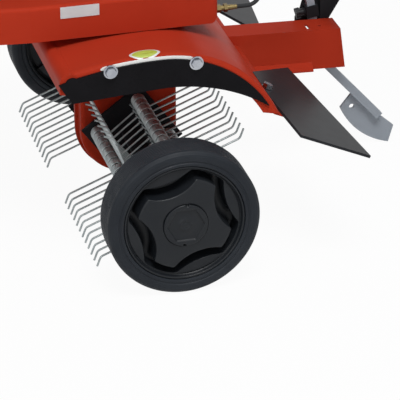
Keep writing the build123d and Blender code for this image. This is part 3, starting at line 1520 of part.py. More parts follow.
tie_offset = tube_radius + sheath_radius + seat_gap


def beside_bar(side, section, distance):
    """Point of the cable's middle line tied along the outer side of a tube, square to the plane of its bend."""
    rise = bar_direction(side, 1)
    level = bar_direction(side, 2)
    square = (
        rise[1] * level[2] - rise[2] * level[1],
        rise[2] * level[0] - rise[0] * level[2],
        rise[0] * level[1] - rise[1] * level[0],
    )
    size = sqrt(sum(part * part for part in square))
    point = along_bar(side, section, distance)
    return tuple(point[axis] - side * tie_offset * square[axis] / size for axis in range(3))


def bend_radii(points):
    """Bend radius at each inner corner: 0.45 of the shorter run over the tangent of half the turn."""
    radii = []
    for before, corner, after in zip(points, points[1:], points[2:]):
        first = Vector(corner) - Vector(before)
        second = Vector(after) - Vector(corner)
        half_turn = radians(first.get_angle(second)) / 2
        radii.append(0.45 * min(first.length, second.length) / tan(half_turn))
    return radii


clutch_route = [
    (deck_rear_x - 30 - seat_gap, adjuster_y, adjuster_z),
    (deck_rear_x - 58, adjuster_y, adjuster_z),
    (deck_rear_x - 88, adjuster_y - 4, adjuster_z + 60),
    (deck_rear_x - 210, adjuster_y - 40, adjuster_z + 110),
    beside_bar(1, 1, 130),
    beside_bar(1, 2, 0),
    beside_bar(1, 2, mount_at - mount_width / 2 - seat_gap),
]
throttle_route = [
    (engine_x + 10 - seat_gap, carburettor_y - 18, engine_z + 58),
    (engine_x - 50, carburettor_y - 21, engine_z + 58),
    (engine_x - 100, carburettor_y - 39, engine_z + 62),
    (deck_rear_x - 20, carburettor_y - 42, engine_z + 80),
    (deck_rear_x - 170, carburettor_y - 44, engine_z + 86),
    beside_bar(-1, 1, 130),
    beside_bar(-1, 2, 0),
    beside_bar(-1, 2, mount_at - mount_width / 2 - seat_gap),
]
cable_bends = []
for points in (clutch_route, throttle_route):
    radii = bend_radii(points)
    radii[-1] = bar_bend_radius
    cable_bends.append(radii)
    print("cable bend radii", [round(radius, 1) for radius in radii])
with BuildPart() as cables:
    for points, radii in zip((clutch_route, throttle_route), cable_bends):
        with BuildLine() as route:
            FilletPolyline(*points, radius=radii)
        with BuildSketch(Plane(origin=route.line @ 0, z_dir=route.line % 0)):
            Circle(sheath_radius)
        sweep(path=route.line)
keep(cables, "control_cables")

# ================================================================ chassis fasteners
nut_height = 6.0
washer_sheet = 1.6
spacer_radius = 7.0
spacer_slope = 3.8


def bolt(place, grip, nut=True, tail=nut_height, flats=head_flats, radius=bolt_radius, washer=plain_washer_radius):
    """One bolt with washer, and a nut if asked, through grip of sheet; place is on the outer face, z outwards."""
    with Locations(place):
        with Locations((0, 0, seat_gap)):
            Cylinder(washer, washer_sheet, align=(Align.CENTER, Align.CENTER, Align.MIN))
        with Locations((0, 0, seat_gap + washer_sheet)):
            with BuildPart(mode=Mode.PRIVATE) as hexagon:
                with BuildSketch():
                    RegularPolygon(flats / 2, 6, major_radius=False)
                extrude(amount=head_height)
            add(hexagon.part)
        with Locations((0, 0, seat_gap)):
            Cylinder(radius, grip + 2 * seat_gap + tail, align=(Align.CENTER, Align.CENTER, Align.MAX))
        if nut:
            with Locations((0, 0, -grip - seat_gap)):
                with BuildPart(mode=Mode.PRIVATE) as hex_nut:
                    with BuildSketch():
                        RegularPolygon(flats / 2, 6, major_radius=False)
                    extrude(amount=-(nut_height - 1))
                add(hex_nut.part)


with BuildPart() as fasteners:
    for side in (1, -1):
        for x, z in skirt_bolt_spots:
            bolt(
                Location((x, side * (hood_half_width + seat_gap + skirt_sheet), z), (-90 * side, 0, 0)),
                skirt_sheet + seat_gap + hood_sheet,
                nut=False,
            )
    for across, along in flap_bolt_places:
        with BuildPart(mode=Mode.PRIVATE) as flap_bolt:
            bolt(Location((0, 0, 0)), flap_sheet + seat_gap + hood_sheet, washer=8.0)
        add(flap_bolt.part.moved((flap_plane(seat_gap + flap_sheet) * Location((across, along, 0)))))
    for side in (1, -1):
        for place in case_bolt_places(side):
            spot = (place.position.X, place.position.Y)
            bolt(
                Location((*spot, belt_space_z)),
                floor_sheet + 3 * seat_gap + cap_sheet + flange_sheet,
                washer=8.0,
            )
        for x in spacer_x:
            bolt(
                Location((x, side * spacer_y, belt_space_z)),
                belt_space_z - arch_or_crown(x) + hood_sheet + spacer_slope,
                washer=8.0,
            )
            with Locations((x, side * spacer_y, arch_or_crown(x) + spacer_slope)):
                Cylinder(
                    spacer_radius,
                    floor_z - arch_or_crown(x) - spacer_slope - seat_gap,
                    align=(Align.CENTER, Align.CENTER, Align.MIN),
                )
        for turn in (45, 135, 225, 315):
            if side > 0:
                spot = (
                    engine_x + engine_bolt_circle * cos(radians(turn)),
                    engine_bolt_circle * sin(radians(turn)),
                )
                bolt(
                    Location((*spot, engine_z + engine_flange)),
                    engine_flange + seat_gap + deck_sheet,
                    washer=8.0,
                )
        disc_face = beam_mid_y + side * (cross_half + 2 * disc_sheet + seat_gap - 1.5 + 2 * tube_radius)
        bolt(
            Location((pivot_x, disc_face + side * 0.3, pivot_z), (-90 * side, 0, 0)),
            2 * tube_radius + 30.0,
            nut=False,
        )
        for x, z in ear_bolt_spots:
            bolt(
                Location((x, side * (ear_inner + beam_sheet), z), (-90 * side, 0, 0)),
                beam_sheet,
                nut=False,
                tail=-seat_gap,
                flats=10.0,
                radius=3.0,
                washer=7.0,
            )
    add(arm_post.part)
keep(fasteners, "chassis_fasteners")
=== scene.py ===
"""Walk-behind tiller: detailed pieces, finishes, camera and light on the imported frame.

Every size is in metres in the machine's own frame: X forward, Y to the machine's left, Z up,
with the origin on the ground straight below the middle of the reel axle.
"""

import logging
from dataclasses import dataclass
from enum import Enum
from functools import cache
from typing import ClassVar, Sequence

import bpy
import numpy as np
from mathutils import Matrix, Vector


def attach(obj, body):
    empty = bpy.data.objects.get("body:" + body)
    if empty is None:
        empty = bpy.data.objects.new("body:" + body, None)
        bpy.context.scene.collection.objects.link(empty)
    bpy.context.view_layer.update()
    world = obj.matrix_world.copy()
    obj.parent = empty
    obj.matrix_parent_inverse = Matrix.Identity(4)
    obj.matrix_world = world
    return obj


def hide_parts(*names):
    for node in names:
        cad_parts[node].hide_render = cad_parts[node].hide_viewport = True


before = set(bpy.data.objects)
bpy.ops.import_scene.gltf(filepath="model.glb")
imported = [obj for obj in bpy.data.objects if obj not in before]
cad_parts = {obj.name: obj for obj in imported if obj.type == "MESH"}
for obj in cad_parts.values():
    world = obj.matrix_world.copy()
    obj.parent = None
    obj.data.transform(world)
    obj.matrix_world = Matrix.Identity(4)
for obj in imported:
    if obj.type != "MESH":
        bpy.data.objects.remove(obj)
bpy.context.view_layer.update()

LOG = logging.getLogger("tiller")

Pair = tuple[float, float]
Point = tuple[float, float, float]
Colour = tuple[float, float, float]
Profile = tuple[Pair, ...]
Array = np.ndarray
Ring = tuple[Array, Array]
Socket = bpy.types.NodeSocket
Thing = bpy.types.Object
Material = bpy.types.Material
Node = bpy.types.Node
Value = Socket | Colour | float

WHITE: Colour = (1.0, 1.0, 1.0)
FULL_TURN = 2 * np.pi
ASKEW: Point = (0.0, 1.0, 0.1)  # a direction that no wire starts in


class Side(Enum):
    """Side of the machine, with the sign of its Y."""

    LEFT = 1
    RIGHT = -1

    @property
    def label(self) -> str:
        """Name of the side as the frame's nodes write it."""
        return self.name.lower()


class Body(str, Enum):
    """Rigid bodies of the frame that new pieces ride on."""

    CHASSIS = "chassis"
    REEL = "reel"
    LEFT_WHEEL = "left_wheel"
    RIGHT_WHEEL = "right_wheel"

    @staticmethod
    def wheel(side: Side) -> "Body":
        """Returns the wheel body on that side."""
        return Body.LEFT_WHEEL if side is Side.LEFT else Body.RIGHT_WHEEL


class Arithmetic(Enum):
    """What a math node does with its two numbers."""

    MULTIPLY = "MULTIPLY"
    MAXIMUM = "MAXIMUM"


# ---------------- shader nodes
class NodeGraph:
    """Adds shader nodes to a tree and joins them."""

    def __init__(self, tree: bpy.types.NodeTree) -> None:
        """Takes over a tree and empties it."""
        self.tree = tree
        self.tree.nodes.clear()

    def put(self, end: Socket, value: Value) -> None:
        """Sets one input: a socket is linked, a colour or a number is written.

        Args:
            end: Input to set.
            value: What it gets.
        """
        if isinstance(value, Socket):
            self.tree.links.new(value, end)
        elif isinstance(value, tuple):
            end.default_value = (*value, 1.0)
        else:
            end.default_value = value

    def feed(self, node: Node, **values: Value) -> None:
        """Sets a node's inputs by name, with underscores for the names' spaces."""
        for key, value in values.items():
            self.put(node.inputs[key.replace("_", " ")], value)

    def add(self, kind: str, **values: Value) -> Node:
        """Adds a node and sets its inputs.

        Args:
            kind: Kind of shader node.
            values: What its inputs get, by name.

        Returns:
            The node.
        """
        node = self.tree.nodes.new(f"ShaderNode{kind}")
        self.feed(node, **values)
        return node

    def reckon(self, how: Arithmetic, first: Socket, second: Socket | float) -> Socket:
        """Joins two numbers by a math node.

        Args:
            how: What the node does.
            first: First number.
            second: Second number.

        Returns:
            The result.
        """
        node = self.add("Math")
        node.operation = how.value
        self.put(node.inputs[0], first)
        self.put(node.inputs[1], second)
        return node.outputs[0]

    def mix_shaders(self, factor: Socket, first: Node, second: Node) -> Socket:
        """Mixes two shaders.

        Args:
            factor: 0 for the first shader alone and 1 for the second alone.
            first: First shader.
            second: Second shader.

        Returns:
            The mixed shader.
        """
        mix = self.add("MixShader")
        for end, start in zip(mix.inputs, (factor, first.outputs[0], second.outputs[0])):
            self.put(end, start)
        return mix.outputs[0]

    def seen_directly(self) -> Socket:
        """Finds what a ray is for: the largest of three of the light path's flags.

        Returns:
            1 for camera, glossy and transmission rays and 0 for the rest.
        """
        path = self.add("LightPath")
        seen = path.outputs["Is Camera Ray"]
        for kind in ("Is Glossy Ray", "Is Transmission Ray"):
            seen = self.reckon(Arithmetic.MAXIMUM, seen, path.outputs[kind])
        return seen


@dataclass(frozen=True)
class Noise:
    """Noise over a piece: cycles per metre, octaves, and the span that a factor is spread over."""

    scale: float
    detail: float
    low: float = 0.3
    high: float = 0.7


class MaterialGraph(NodeGraph):
    """A new material with one main shader, patterned in each piece's own coordinates."""

    FLAT: ClassVar[float] = 0.995
    SHARP: ClassVar[float] = 0.85

    def __init__(self, name: str) -> None:
        """Starts the material.

        Args:
            name: Name of the material.
        """
        self.material = bpy.data.materials.new(name)
        self.material.use_nodes = True
        super().__init__(self.material.node_tree)
        self.shader = self.add("BsdfPrincipled")
        self.output = self.add("OutputMaterial", Surface=self.shader.outputs[0])
        self.place = self.add("TexCoord").outputs["Object"]

    def noise(self, pattern: Noise) -> Socket:
        """Returns the noise itself, over the piece's own coordinates."""
        node = self.add("TexNoise", Scale=pattern.scale, Detail=pattern.detail, Vector=self.place)
        return node.outputs["Fac"]

    def band(
        self, source: Socket, low: float, high: float, start: float = 0.0, end: float = 1.0
    ) -> Socket:
        """Maps a factor in a straight line from low..high to start..end, and clamps it.

        Args:
            source: Factor to map.
            low: Value that becomes start.
            high: Value that becomes end.
            start: Result at low.
            end: Result at high.

        Returns:
            The mapped factor.
        """
        ramp = self.add(
            "MapRange", Value=source, From_Min=low, From_Max=high, To_Min=start, To_Max=end
        )
        return ramp.outputs["Result"]

    def factor(self, pattern: Noise, start: float = 0.0, end: float = 1.0) -> Socket:
        """Returns noise with its span mapped to start..end."""
        return self.band(self.noise(pattern), pattern.low, pattern.high, start, end)

    def blend(self, factor: Socket, first: Socket | Colour, second: Socket | Colour) -> Socket:
        """Mixes two colours.

        Args:
            factor: 0 for the first colour alone and 1 for the second alone.
            first: First colour.
            second: Second colour.

        Returns:
            The mixed colour.
        """
        mix = self.add("Mix")
        mix.data_type = "RGBA"
        self.feed(mix, Factor=factor, A=first, B=second)
        return mix.outputs["Result"]

    def bump(self, height: Socket, strength: float, distance: float) -> None:
        """Puts a bump of that strength and depth in metres on the main shader."""
        bump = self.add("Bump", Strength=strength, Distance=distance, Height=height)
        self.feed(self.shader, Normal=bump.outputs[0])

    def edge_wear(self, radius: float) -> Socket:
        """Finds sharp edges, where the normal and the bevelled normal have a small dot product.

        Args:
            radius: Bevel radius in metres.

        Returns:
            A factor from 0 on flats to 1 on edges.
        """
        dot = self.add("VectorMath")
        dot.operation = "DOT_PRODUCT"
        self.put(dot.inputs[0], self.add("Bevel", Radius=radius).outputs[0])
        self.put(dot.inputs[1], self.add("NewGeometry").outputs["Normal"])
        return self.band(dot.outputs["Value"], self.FLAT, self.SHARP)


# ---------------- finishes
@dataclass(frozen=True)
class Finish:
    """A finish whose colour, roughness and fine relief vary over the piece.

    The colour goes to the shade with the clouds. The roughness goes with the patches between the
    two ends of the spread, which are added to it and shrink with the mottle. The grain is a bump.
    """

    CLOUDS: ClassVar[Noise] = Noise(30.0, 5.0)
    PATCHES: ClassVar[Noise] = Noise(55.0, 4.0)
    SPREAD: ClassVar[Pair] = (-0.06, 0.08)
    GRAIN_DETAIL: ClassVar[float] = 2.0
    GRAIN_DEPTH: ClassVar[float] = 0.0002
    IOR: ClassVar[float] = 1.5
    COAT_ROUGHNESS: ClassVar[float] = 0.03

    name: str
    colour: Colour
    shade: Colour
    roughness: float
    specular: float = 0.5
    grain: float = 0.25
    grain_scale: float = 1400.0
    mottle: float = 1.0
    metallic: float = 0.0
    coat: float = 0.0

    def wear_and_shade(self, graph: MaterialGraph, base: Socket) -> Socket:
        """Returns the base colour with its wear or its painted shade, of which a plain finish has
        none.
        """
        return base

    @cache
    def build(self) -> Material:
        """Makes the material at its first use, and keeps it for the next.

        Returns:
            The material.
        """
        graph = MaterialGraph(self.name)
        shader = graph.shader
        graph.feed(shader, Metallic=self.metallic, Specular_IOR_Level=self.specular, IOR=self.IOR)
        graph.feed(shader, Coat_Weight=self.coat, Coat_Roughness=self.COAT_ROUGHNESS)
        graph.feed(shader, Roughness=self.roughness)
        base = graph.blend(graph.factor(self.CLOUDS), self.colour, self.shade)
        smooth, rough = (self.roughness + change * self.mottle for change in self.SPREAD)
        patches = graph.factor(self.PATCHES, smooth, rough)
        graph.feed(shader, Base_Color=self.wear_and_shade(graph, base), Roughness=patches)
        grain = graph.noise(Noise(self.grain_scale, self.GRAIN_DETAIL))
        graph.bump(grain, self.grain, self.GRAIN_DEPTH)
        return graph.material


@dataclass(frozen=True)
class PaintFinish(Finish):
    """Sprayed paint on sheet metal, with faint dust, orange peel and thin wear on its edges."""

    CLOUDS = Noise(7.0, 4.0)
    PATCHES = Noise(22.0, 5.0, 0.3, 0.75)
    SPREAD = (-0.03, 0.06)
    CHIPS: ClassVar[Noise] = Noise(90.0, 5.0, 0.55, 0.7)
    MOST_WORN: ClassVar[float] = 0.7
    EDGE_RADIUS: ClassVar[float] = 0.0008
    IOR = 1.45
    COAT_ROUGHNESS = 0.12

    specular: float = 0.015
    grain: float = 0.12
    grain_scale: float = 420.0
    worn: Colour = (0.30, 0.26, 0.24)

    def wear_and_shade(self, graph: MaterialGraph, base: Socket) -> Socket:
        """Returns the colour worn on edges, by their sharpness times the noise of the chips."""
        chips = graph.factor(self.CHIPS, end=self.MOST_WORN)
        wear = graph.reckon(Arithmetic.MULTIPLY, graph.edge_wear(self.EDGE_RADIUS), chips)
        return graph.blend(wear, base, self.worn)


@dataclass(frozen=True)
class PlasticFinish(Finish):
    """Moulded plastic with a fine grain."""


@dataclass(frozen=True)
class RubberFinish(Finish):
    """Black rubber with dust, which is its shade, in clouds."""

    CLOUDS = Noise(18.0, 6.0, 0.4, 0.75)
    PATCHES = Noise(60.0, 4.0)
    SPREAD = (-0.12, 0.1)
    GRAIN_DETAIL = 3.0
    GRAIN_DEPTH = 0.0003

    specular: float = 0.2
    grain: float = 0.35
    grain_scale: float = 900.0


@dataclass(frozen=True)
class MetalFinish(Finish):
    """Bare, plated or cast metal, with painted shade darkening crevices narrower than its crevice
    size.
    """

    CLOUDS = Noise(45.0, 6.0)
    PATCHES = Noise(80.0, 5.0)
    SPREAD = (-0.1, 0.14)
    GRAIN_DETAIL = 3.0
    FULL_SHADE: ClassVar[float] = 0.45
    NO_SHADE: ClassVar[float] = 0.9

    grain: float = 0.15
    grain_scale: float = 500.0
    metallic: float = 1.0
    crevice: float = 0.0
    # colour of the painted shade that ambient occlusion puts in crevices
    painted_shade: Colour = (0.03, 0.03, 0.032)

    def wear_and_shade(self, graph: MaterialGraph, base: Socket) -> Socket:
        """Paints shade into crevices: darkens the colour where ambient occlusion lets little light
        in.

        Args:
            graph: Material that is being made.
            base: Colour without the painted shade.

        Returns:
            The colour with its painted shade.
        """
        if not self.crevice:
            return base
        # painted shade: the base colour goes dark where ambient occlusion finds a crevice
        open_share = graph.add("AmbientOcclusion", Distance=self.crevice).outputs["AO"]
        return graph.blend(graph.band(open_share, self.FULL_SHADE, self.NO_SHADE), self.painted_shade, base)


TYRE = RubberFinish("tyre_rubber", (0.012, 0.015, 0.020), (0.020, 0.024, 0.030), 0.50)
SOFT_RUBBER = RubberFinish("soft_rubber", (0.022, 0.023, 0.025), (0.050, 0.052, 0.055), 0.62)
WHEEL_PLASTIC = PlasticFinish(
    "wheel_plastic", (0.010, 0.012, 0.015), (0.014, 0.016, 0.019), 0.36, specular=0.22, grain=0.15
)
MATT_PLASTIC = PlasticFinish(
    "matt_plastic", (0.012, 0.012, 0.014), (0.020, 0.020, 0.022), 0.46, specular=0.2, grain=0.3
)
GLOSS_SHEET = PlasticFinish(
    "gloss_sheet", (0.006, 0.0055, 0.0065), (0.008, 0.0075, 0.009), 0.28, 0.06, 0.05, 700.0
)
FLAP_SHEET = PlasticFinish(
    "flap_sheet", (0.024, 0.025, 0.028), (0.027, 0.028, 0.031), 0.30, 0.04, 0.03, 700.0, 0.2
)
LABEL_WHITE = PlasticFinish("label_white", (0.78, 0.78, 0.76), (0.70, 0.70, 0.68), 0.30, grain=0.02)
LABEL_LIME = PlasticFinish("label_lime", (0.42, 0.52, 0.06), (0.52, 0.60, 0.10), 0.30, grain=0.02)
PLATE = PlasticFinish("rating_plate", (0.66, 0.66, 0.66), (0.56, 0.56, 0.57), 0.32, grain=0.03)
ORANGE = PaintFinish("orange_paint", (0.46, 0.038, 0.016), (0.40, 0.033, 0.014), 0.36)
BLACK_PAINT = PaintFinish("black_paint", (0.016, 0.016, 0.018), (0.026, 0.026, 0.028), 0.30)
GREY_PAINT = PaintFinish("grey_paint", (0.30, 0.33, 0.37), (0.34, 0.37, 0.41), 0.38, coat=0.15)
# zinc and spring steel get painted shade in crevices up to their crevice size, such as between coil
# turns
ZINC = MetalFinish("zinc_steel", (0.54, 0.56, 0.60), (0.36, 0.38, 0.42), 0.20, crevice=0.003)
SPRING_STEEL = MetalFinish(
    "spring_steel", (0.42, 0.46, 0.46), (0.28, 0.31, 0.32), 0.34, metallic=0.6, crevice=0.0025
)
DARK_STEEL = MetalFinish("dark_steel", (0.20, 0.20, 0.21), (0.12, 0.12, 0.125), 0.42)
ALUMINIUM = MetalFinish("cast_aluminium", (0.50, 0.51, 0.52), (0.40, 0.41, 0.42), 0.48, grain=0.5)
CAST_IRON = MetalFinish("cast_iron", (0.24, 0.24, 0.24), (0.17, 0.17, 0.17), 0.5, grain=0.5)
BRONZE = MetalFinish("bronze", (0.50, 0.33, 0.14), (0.40, 0.25, 0.10), 0.35)
BRASS = MetalFinish("brass", (0.22, 0.17, 0.075), (0.15, 0.11, 0.05), 0.34)


# ---------------- mesh building
class MeshBuilder:
    """Collects numpy grids and puts them into one mesh."""

    def __init__(self) -> None:
        """Starts with no points."""
        self._points: list[Array] = []
        self._quads: list[Array] = []
        self._count = 0

    def grid(
        self, points: Array, wrap_rows: bool = False, wrap_columns: bool = False
    ) -> "MeshBuilder":
        """Adds a grid surface, with one face between each four neighbouring points.

        Args:
            points: Array of rows x columns x 3.
            wrap_rows: True joins the last row to the first.
            wrap_columns: True joins the last column to the first.

        Returns:
            The builder itself.
        """
        rows, columns = points.shape[:2]
        index = np.arange(rows * columns).reshape(rows, columns)
        if wrap_rows:
            index = np.vstack([index, index[:1]])
        if wrap_columns:
            index = np.hstack([index, index[:, :1]])
        corners = [index[:-1, :-1], index[1:, :-1], index[1:, 1:], index[:-1, 1:]]
        self._quads.append(np.stack(corners, axis=-1).reshape(-1, 4) + self._count)
        self._points.append(points.reshape(-1, 3))
        self._count += rows * columns
        return self

    def make(self, name: str, material: Material, flip: bool = False) -> Thing:
        """Makes one smooth-shaded object of all the grids and reports it.

        Args:
            name: Object name.
            material: Material of the whole piece.
            flip: True turns every face round.

        Returns:
            The object, linked to the scene.
        """
        points = np.concatenate(self._points)
        quads = np.concatenate(self._quads)
        if flip:
            quads = quads[:, ::-1]
        mesh = bpy.data.meshes.new(name)
        mesh.vertices.add(len(points))
        mesh.vertices.foreach_set("co", points.astype(np.float32).ravel())
        mesh.loops.add(quads.size)
        mesh.loops.foreach_set("vertex_index", quads.astype(np.int32).ravel())
        mesh.polygons.add(len(quads))
        mesh.polygons.foreach_set("loop_start", np.arange(0, quads.size, 4, dtype=np.int32))
        mesh.polygons.foreach_set("use_smooth", np.ones(len(quads), dtype=bool))
        mesh.update(calc_edges=True)
        mesh.validate()
        mesh.materials.append(material)
        thing = bpy.data.objects.new(name, mesh)
        bpy.context.scene.collection.objects.link(thing)
        LOG.info("made %s of %d faces", name, len(quads))
        return thing


def quarter_round(centre: Pair, radius: float, steps: int) -> Array:
    """Returns points on a quarter circle: centre plus radius by the cosine and sine of 0 to 90."""
    turn = np.radians(np.linspace(0, 90, steps))
    return np.stack([centre[0] + radius * np.cos(turn), centre[1] + radius * np.sin(turn)], axis=-1)


def around(steps: int) -> Array:
    """Returns that many even angles over a full turn, without the last."""
    return np.linspace(0, FULL_TURN, steps, endpoint=False)


def dense(profile: Sequence[Pair], spacing: float, hold: float = 0.0003) -> Array:
    """Fills a polyline with even points, and one close to every corner to keep shading crisp.

    Args:
        profile: Corner points.
        spacing: Longest distance between points.
        hold: Distance of the extra points from each corner.

    Returns:
        Array of points x 2.
    """
    corners = np.asarray(profile, dtype=float)
    rows: list[Array] = []
    for start, end in zip(corners[:-1], corners[1:]):
        length = float(np.linalg.norm(end - start))
        count = max(2, int(length / spacing) + 1)
        inner = np.linspace(hold, max(length - hold, hold), count) / length
        rows.append(start + (end - start) * np.concatenate([[0.0], inner])[:, None])
    rows.append(corners[-1:])
    return np.concatenate(rows)


def revolve(profile: Array, centre: Point, side: Side, steps: int) -> Array:
    """Turns a profile about an axle along Y: X and Z are the radius by cosine and sine.

    Args:
        profile: Points as (distance outwards, radius).
        centre: Point of the axle at distance zero.
        side: Side of the machine that the profile faces.
        steps: Number of steps round.

    Returns:
        Grid of profile points x steps x 3.
    """
    angles = around(steps)
    outward = np.broadcast_to(profile[:, :1], (len(profile), steps))
    radius = profile[:, 1:2]
    x = centre[0] + radius * np.cos(angles)
    z = centre[2] + radius * np.sin(angles)
    return np.stack([x, centre[1] + side.value * outward, z], axis=-1)


def tube(path: Array, radius: float, steps: int) -> Array:
    """Wraps a round tube about a path: each ring stands square to the path without twisting.

    Args:
        path: Array of points x 3.
        radius: Tube radius.
        steps: Steps round the section.

    Returns:
        Grid of points x steps x 3.
    """
    tangent = np.gradient(path, axis=0)
    tangent /= np.linalg.norm(tangent, axis=1, keepdims=True)
    normal = np.empty_like(path)
    first = np.cross(tangent[0], ASKEW)
    normal[0] = first / np.linalg.norm(first)
    for row in range(1, len(path)):
        turned = normal[row - 1] - tangent[row] * np.dot(normal[row - 1], tangent[row])
        normal[row] = turned / np.linalg.norm(turned)
    square = np.cross(tangent, normal)
    angles = around(steps)[None, :, None]
    ring = normal[:, None] * np.cos(angles) + square[:, None] * np.sin(angles)
    return path[:, None] + radius * ring


# ---------------- wheels
@dataclass(frozen=True)
class WheelSizes:
    """Sizes that the pieces of one transport wheel share."""

    track: float = 0.652
    axle_height: float = 0.110
    radius: float = 0.110
    rim_radius: float = 0.087
    rim_gap: float = 0.0003
    cap_radius: float = 0.0318
    steps: int = 240


@dataclass(frozen=True)
class TyreSizes:
    """Sizes of the tyre.

    The wall's pairs are inset from the tyre's side and height above the rim; the last one is
    inset and depth below the shoulder.
    """

    half_width: float = 0.0275
    wall: Profile = (
        (0.0030, 0.0001), (0.0008, 0.0010), (0.0001, 0.0028), (0.0001, 0.0050),
        (0.0011, 0.0060), (0.0011, 0.0076), (0.0001, 0.0088),
    )
    wall_end: Pair = (0.0001, 0.0018)
    wall_spacing: float = 0.002
    wall_hold: float = 0.0002
    shoulder: float = 0.008
    shoulder_steps: int = 14
    shoulder_cuts: tuple[int, int, int] = (2, -2, 3)
    shoulder_cut: float = 0.06
    ribs: int = 10
    rib_steps: int = 12
    rib_depth: float = 0.0020
    rib_slope: float = 2.2
    rib_crest: float = 0.9


@dataclass(frozen=True)
class FaceSizes:
    """Sizes of the rim's outer face.

    Each edge is a row of pairs: how far a ring lies outside and above the edge's own radius and
    level.
    """

    arms: int = 4
    star_angle: float = 63.0
    star_waist: float = 0.0475
    star_centre: float = 0.1108
    star_reach: float = 0.0690
    star_top: float = 0.0312
    star_tip: float = 0.0278
    dome_straight: float = 0.35
    dome_steps: int = 16
    dome_end: float = -0.0022
    hub_gap: float = 0.0004
    hub_depth: float = 0.005
    lobe_inner: float = 0.0655
    lobe_centre: float = 0.1635
    lobe_foot: float = 0.0800
    lobe_level: float = 0.0205
    lobe_swell: float = 0.012
    lobe_steps: int = 9
    lobe_first: float = 0.1
    lobe_overrun: float = 0.0010
    recess_level: float = -0.0060
    lip_level: float = 0.0262
    lip_radius: float = 0.0840
    softness: float = 0.0012
    star_edge: Profile = ((-0.0012, -0.0002), (-0.0005, -0.0007), (0.0, -0.0014), (0.0002, -0.0024))
    star_foot: Profile = ((0.0008, 0.0012), (0.0018, 0.0))
    lobe_root: Profile = ((-0.0018, 0.0), (-0.0008, 0.0012))
    lobe_edge: Profile = ((-0.0002, -0.0012), (0.0001, -0.0005), (0.0006, 0.0))
    groove: Profile = ((0.0012, -0.0008), (0.0018, -0.0008))
    lip_inside: Profile = ((-0.0010, -0.0030), (-0.0002, -0.0010), (0.0003, -0.0003), (0.0009, 0.0))
    lip_outside: Profile = ((-0.0009, 0.0), (-0.0004, -0.0006), (-0.0003, -0.0060))


@dataclass(frozen=True)
class BarrelSizes:
    """Sizes of the rim's barrel, web, hub and stiffening ribs.

    The wall's pairs are level and depth below the rim, the web's are level and radius, and the
    rib section's are shares of its half width and of its height.
    """

    wall: Profile = (
        (0.0240, 0.0), (-0.0245, 0.0), (-0.0245, 0.0016), (-0.0235, 0.0036), (-0.0110, 0.0046),
        (-0.0090, 0.0080),
    )
    web: Profile = (
        (-0.0080, 0.0300), (-0.0090, 0.0175), (-0.0258, 0.0160), (-0.0260, 0.0152),
        (-0.0260, 0.0092),
    )
    spacing: float = 0.004
    ribs: int = 8
    rib_turn: float = 0.2
    rib_steps: int = 10
    rib_radii: Pair = (0.0160, 0.0805)
    rib_levels: Pair = (-0.0235, -0.0130)
    rib_root: float = -0.0081
    rib_half: float = 0.0013
    rib_section: Profile = (
        (-1.0, 0.0), (-1.0, 1.0), (-0.6, 1.02), (0.6, 1.02), (1.0, 1.0), (1.0, 0.0),
    )


@dataclass(frozen=True)
class CapSizes:
    """Sizes of the hub cap.

    The middle's pairs are radius and height above the floor. The hexagon's are shares of its
    size, with the height above the floor inside it and above the top at its edge. The edge's
    triples are inset from the cap's radius, depth below the top and extra depth in a notch.
    """

    top: float = 0.0335
    floor: float = 0.0305
    apothem: float = 0.0236
    notch_angle: float = 86.0
    notch_width: float = 0.06
    notch_flank: float = 1.4
    middle: Profile = (
        (0.0001, 0.0009), (0.0020, 0.0009), (0.0030, 0.0001), (0.0060, 0.0001),
        (0.0068, 0.0010), (0.0084, 0.0010), (0.0092, 0.0),
    )
    hexagon_inside: Profile = ((0.70, 0.0), (0.95, 0.0), (0.975, 0.0002))
    hexagon_edge: Profile = ((1.0, -0.0003), (1.015, 0.0))
    edge: tuple[Point, ...] = (
        (0.0034, 0.0, 0.0), (0.0028, 0.0, 0.0040), (0.0010, 0.0, 0.0045),
        (0.0003, 0.0004, 0.0045), (0.0, 0.0012, 0.0040), (0.0, 0.0085, 0.0),
        (0.0, 0.0200, 0.0),
    )


def rings(radius: Array, level: Array, edge: Profile) -> list[Ring]:
    """Returns a ring for each pair of an edge, moved outwards and up from a radius and level."""
    return [(radius + out, level + up) for out, up in edge]


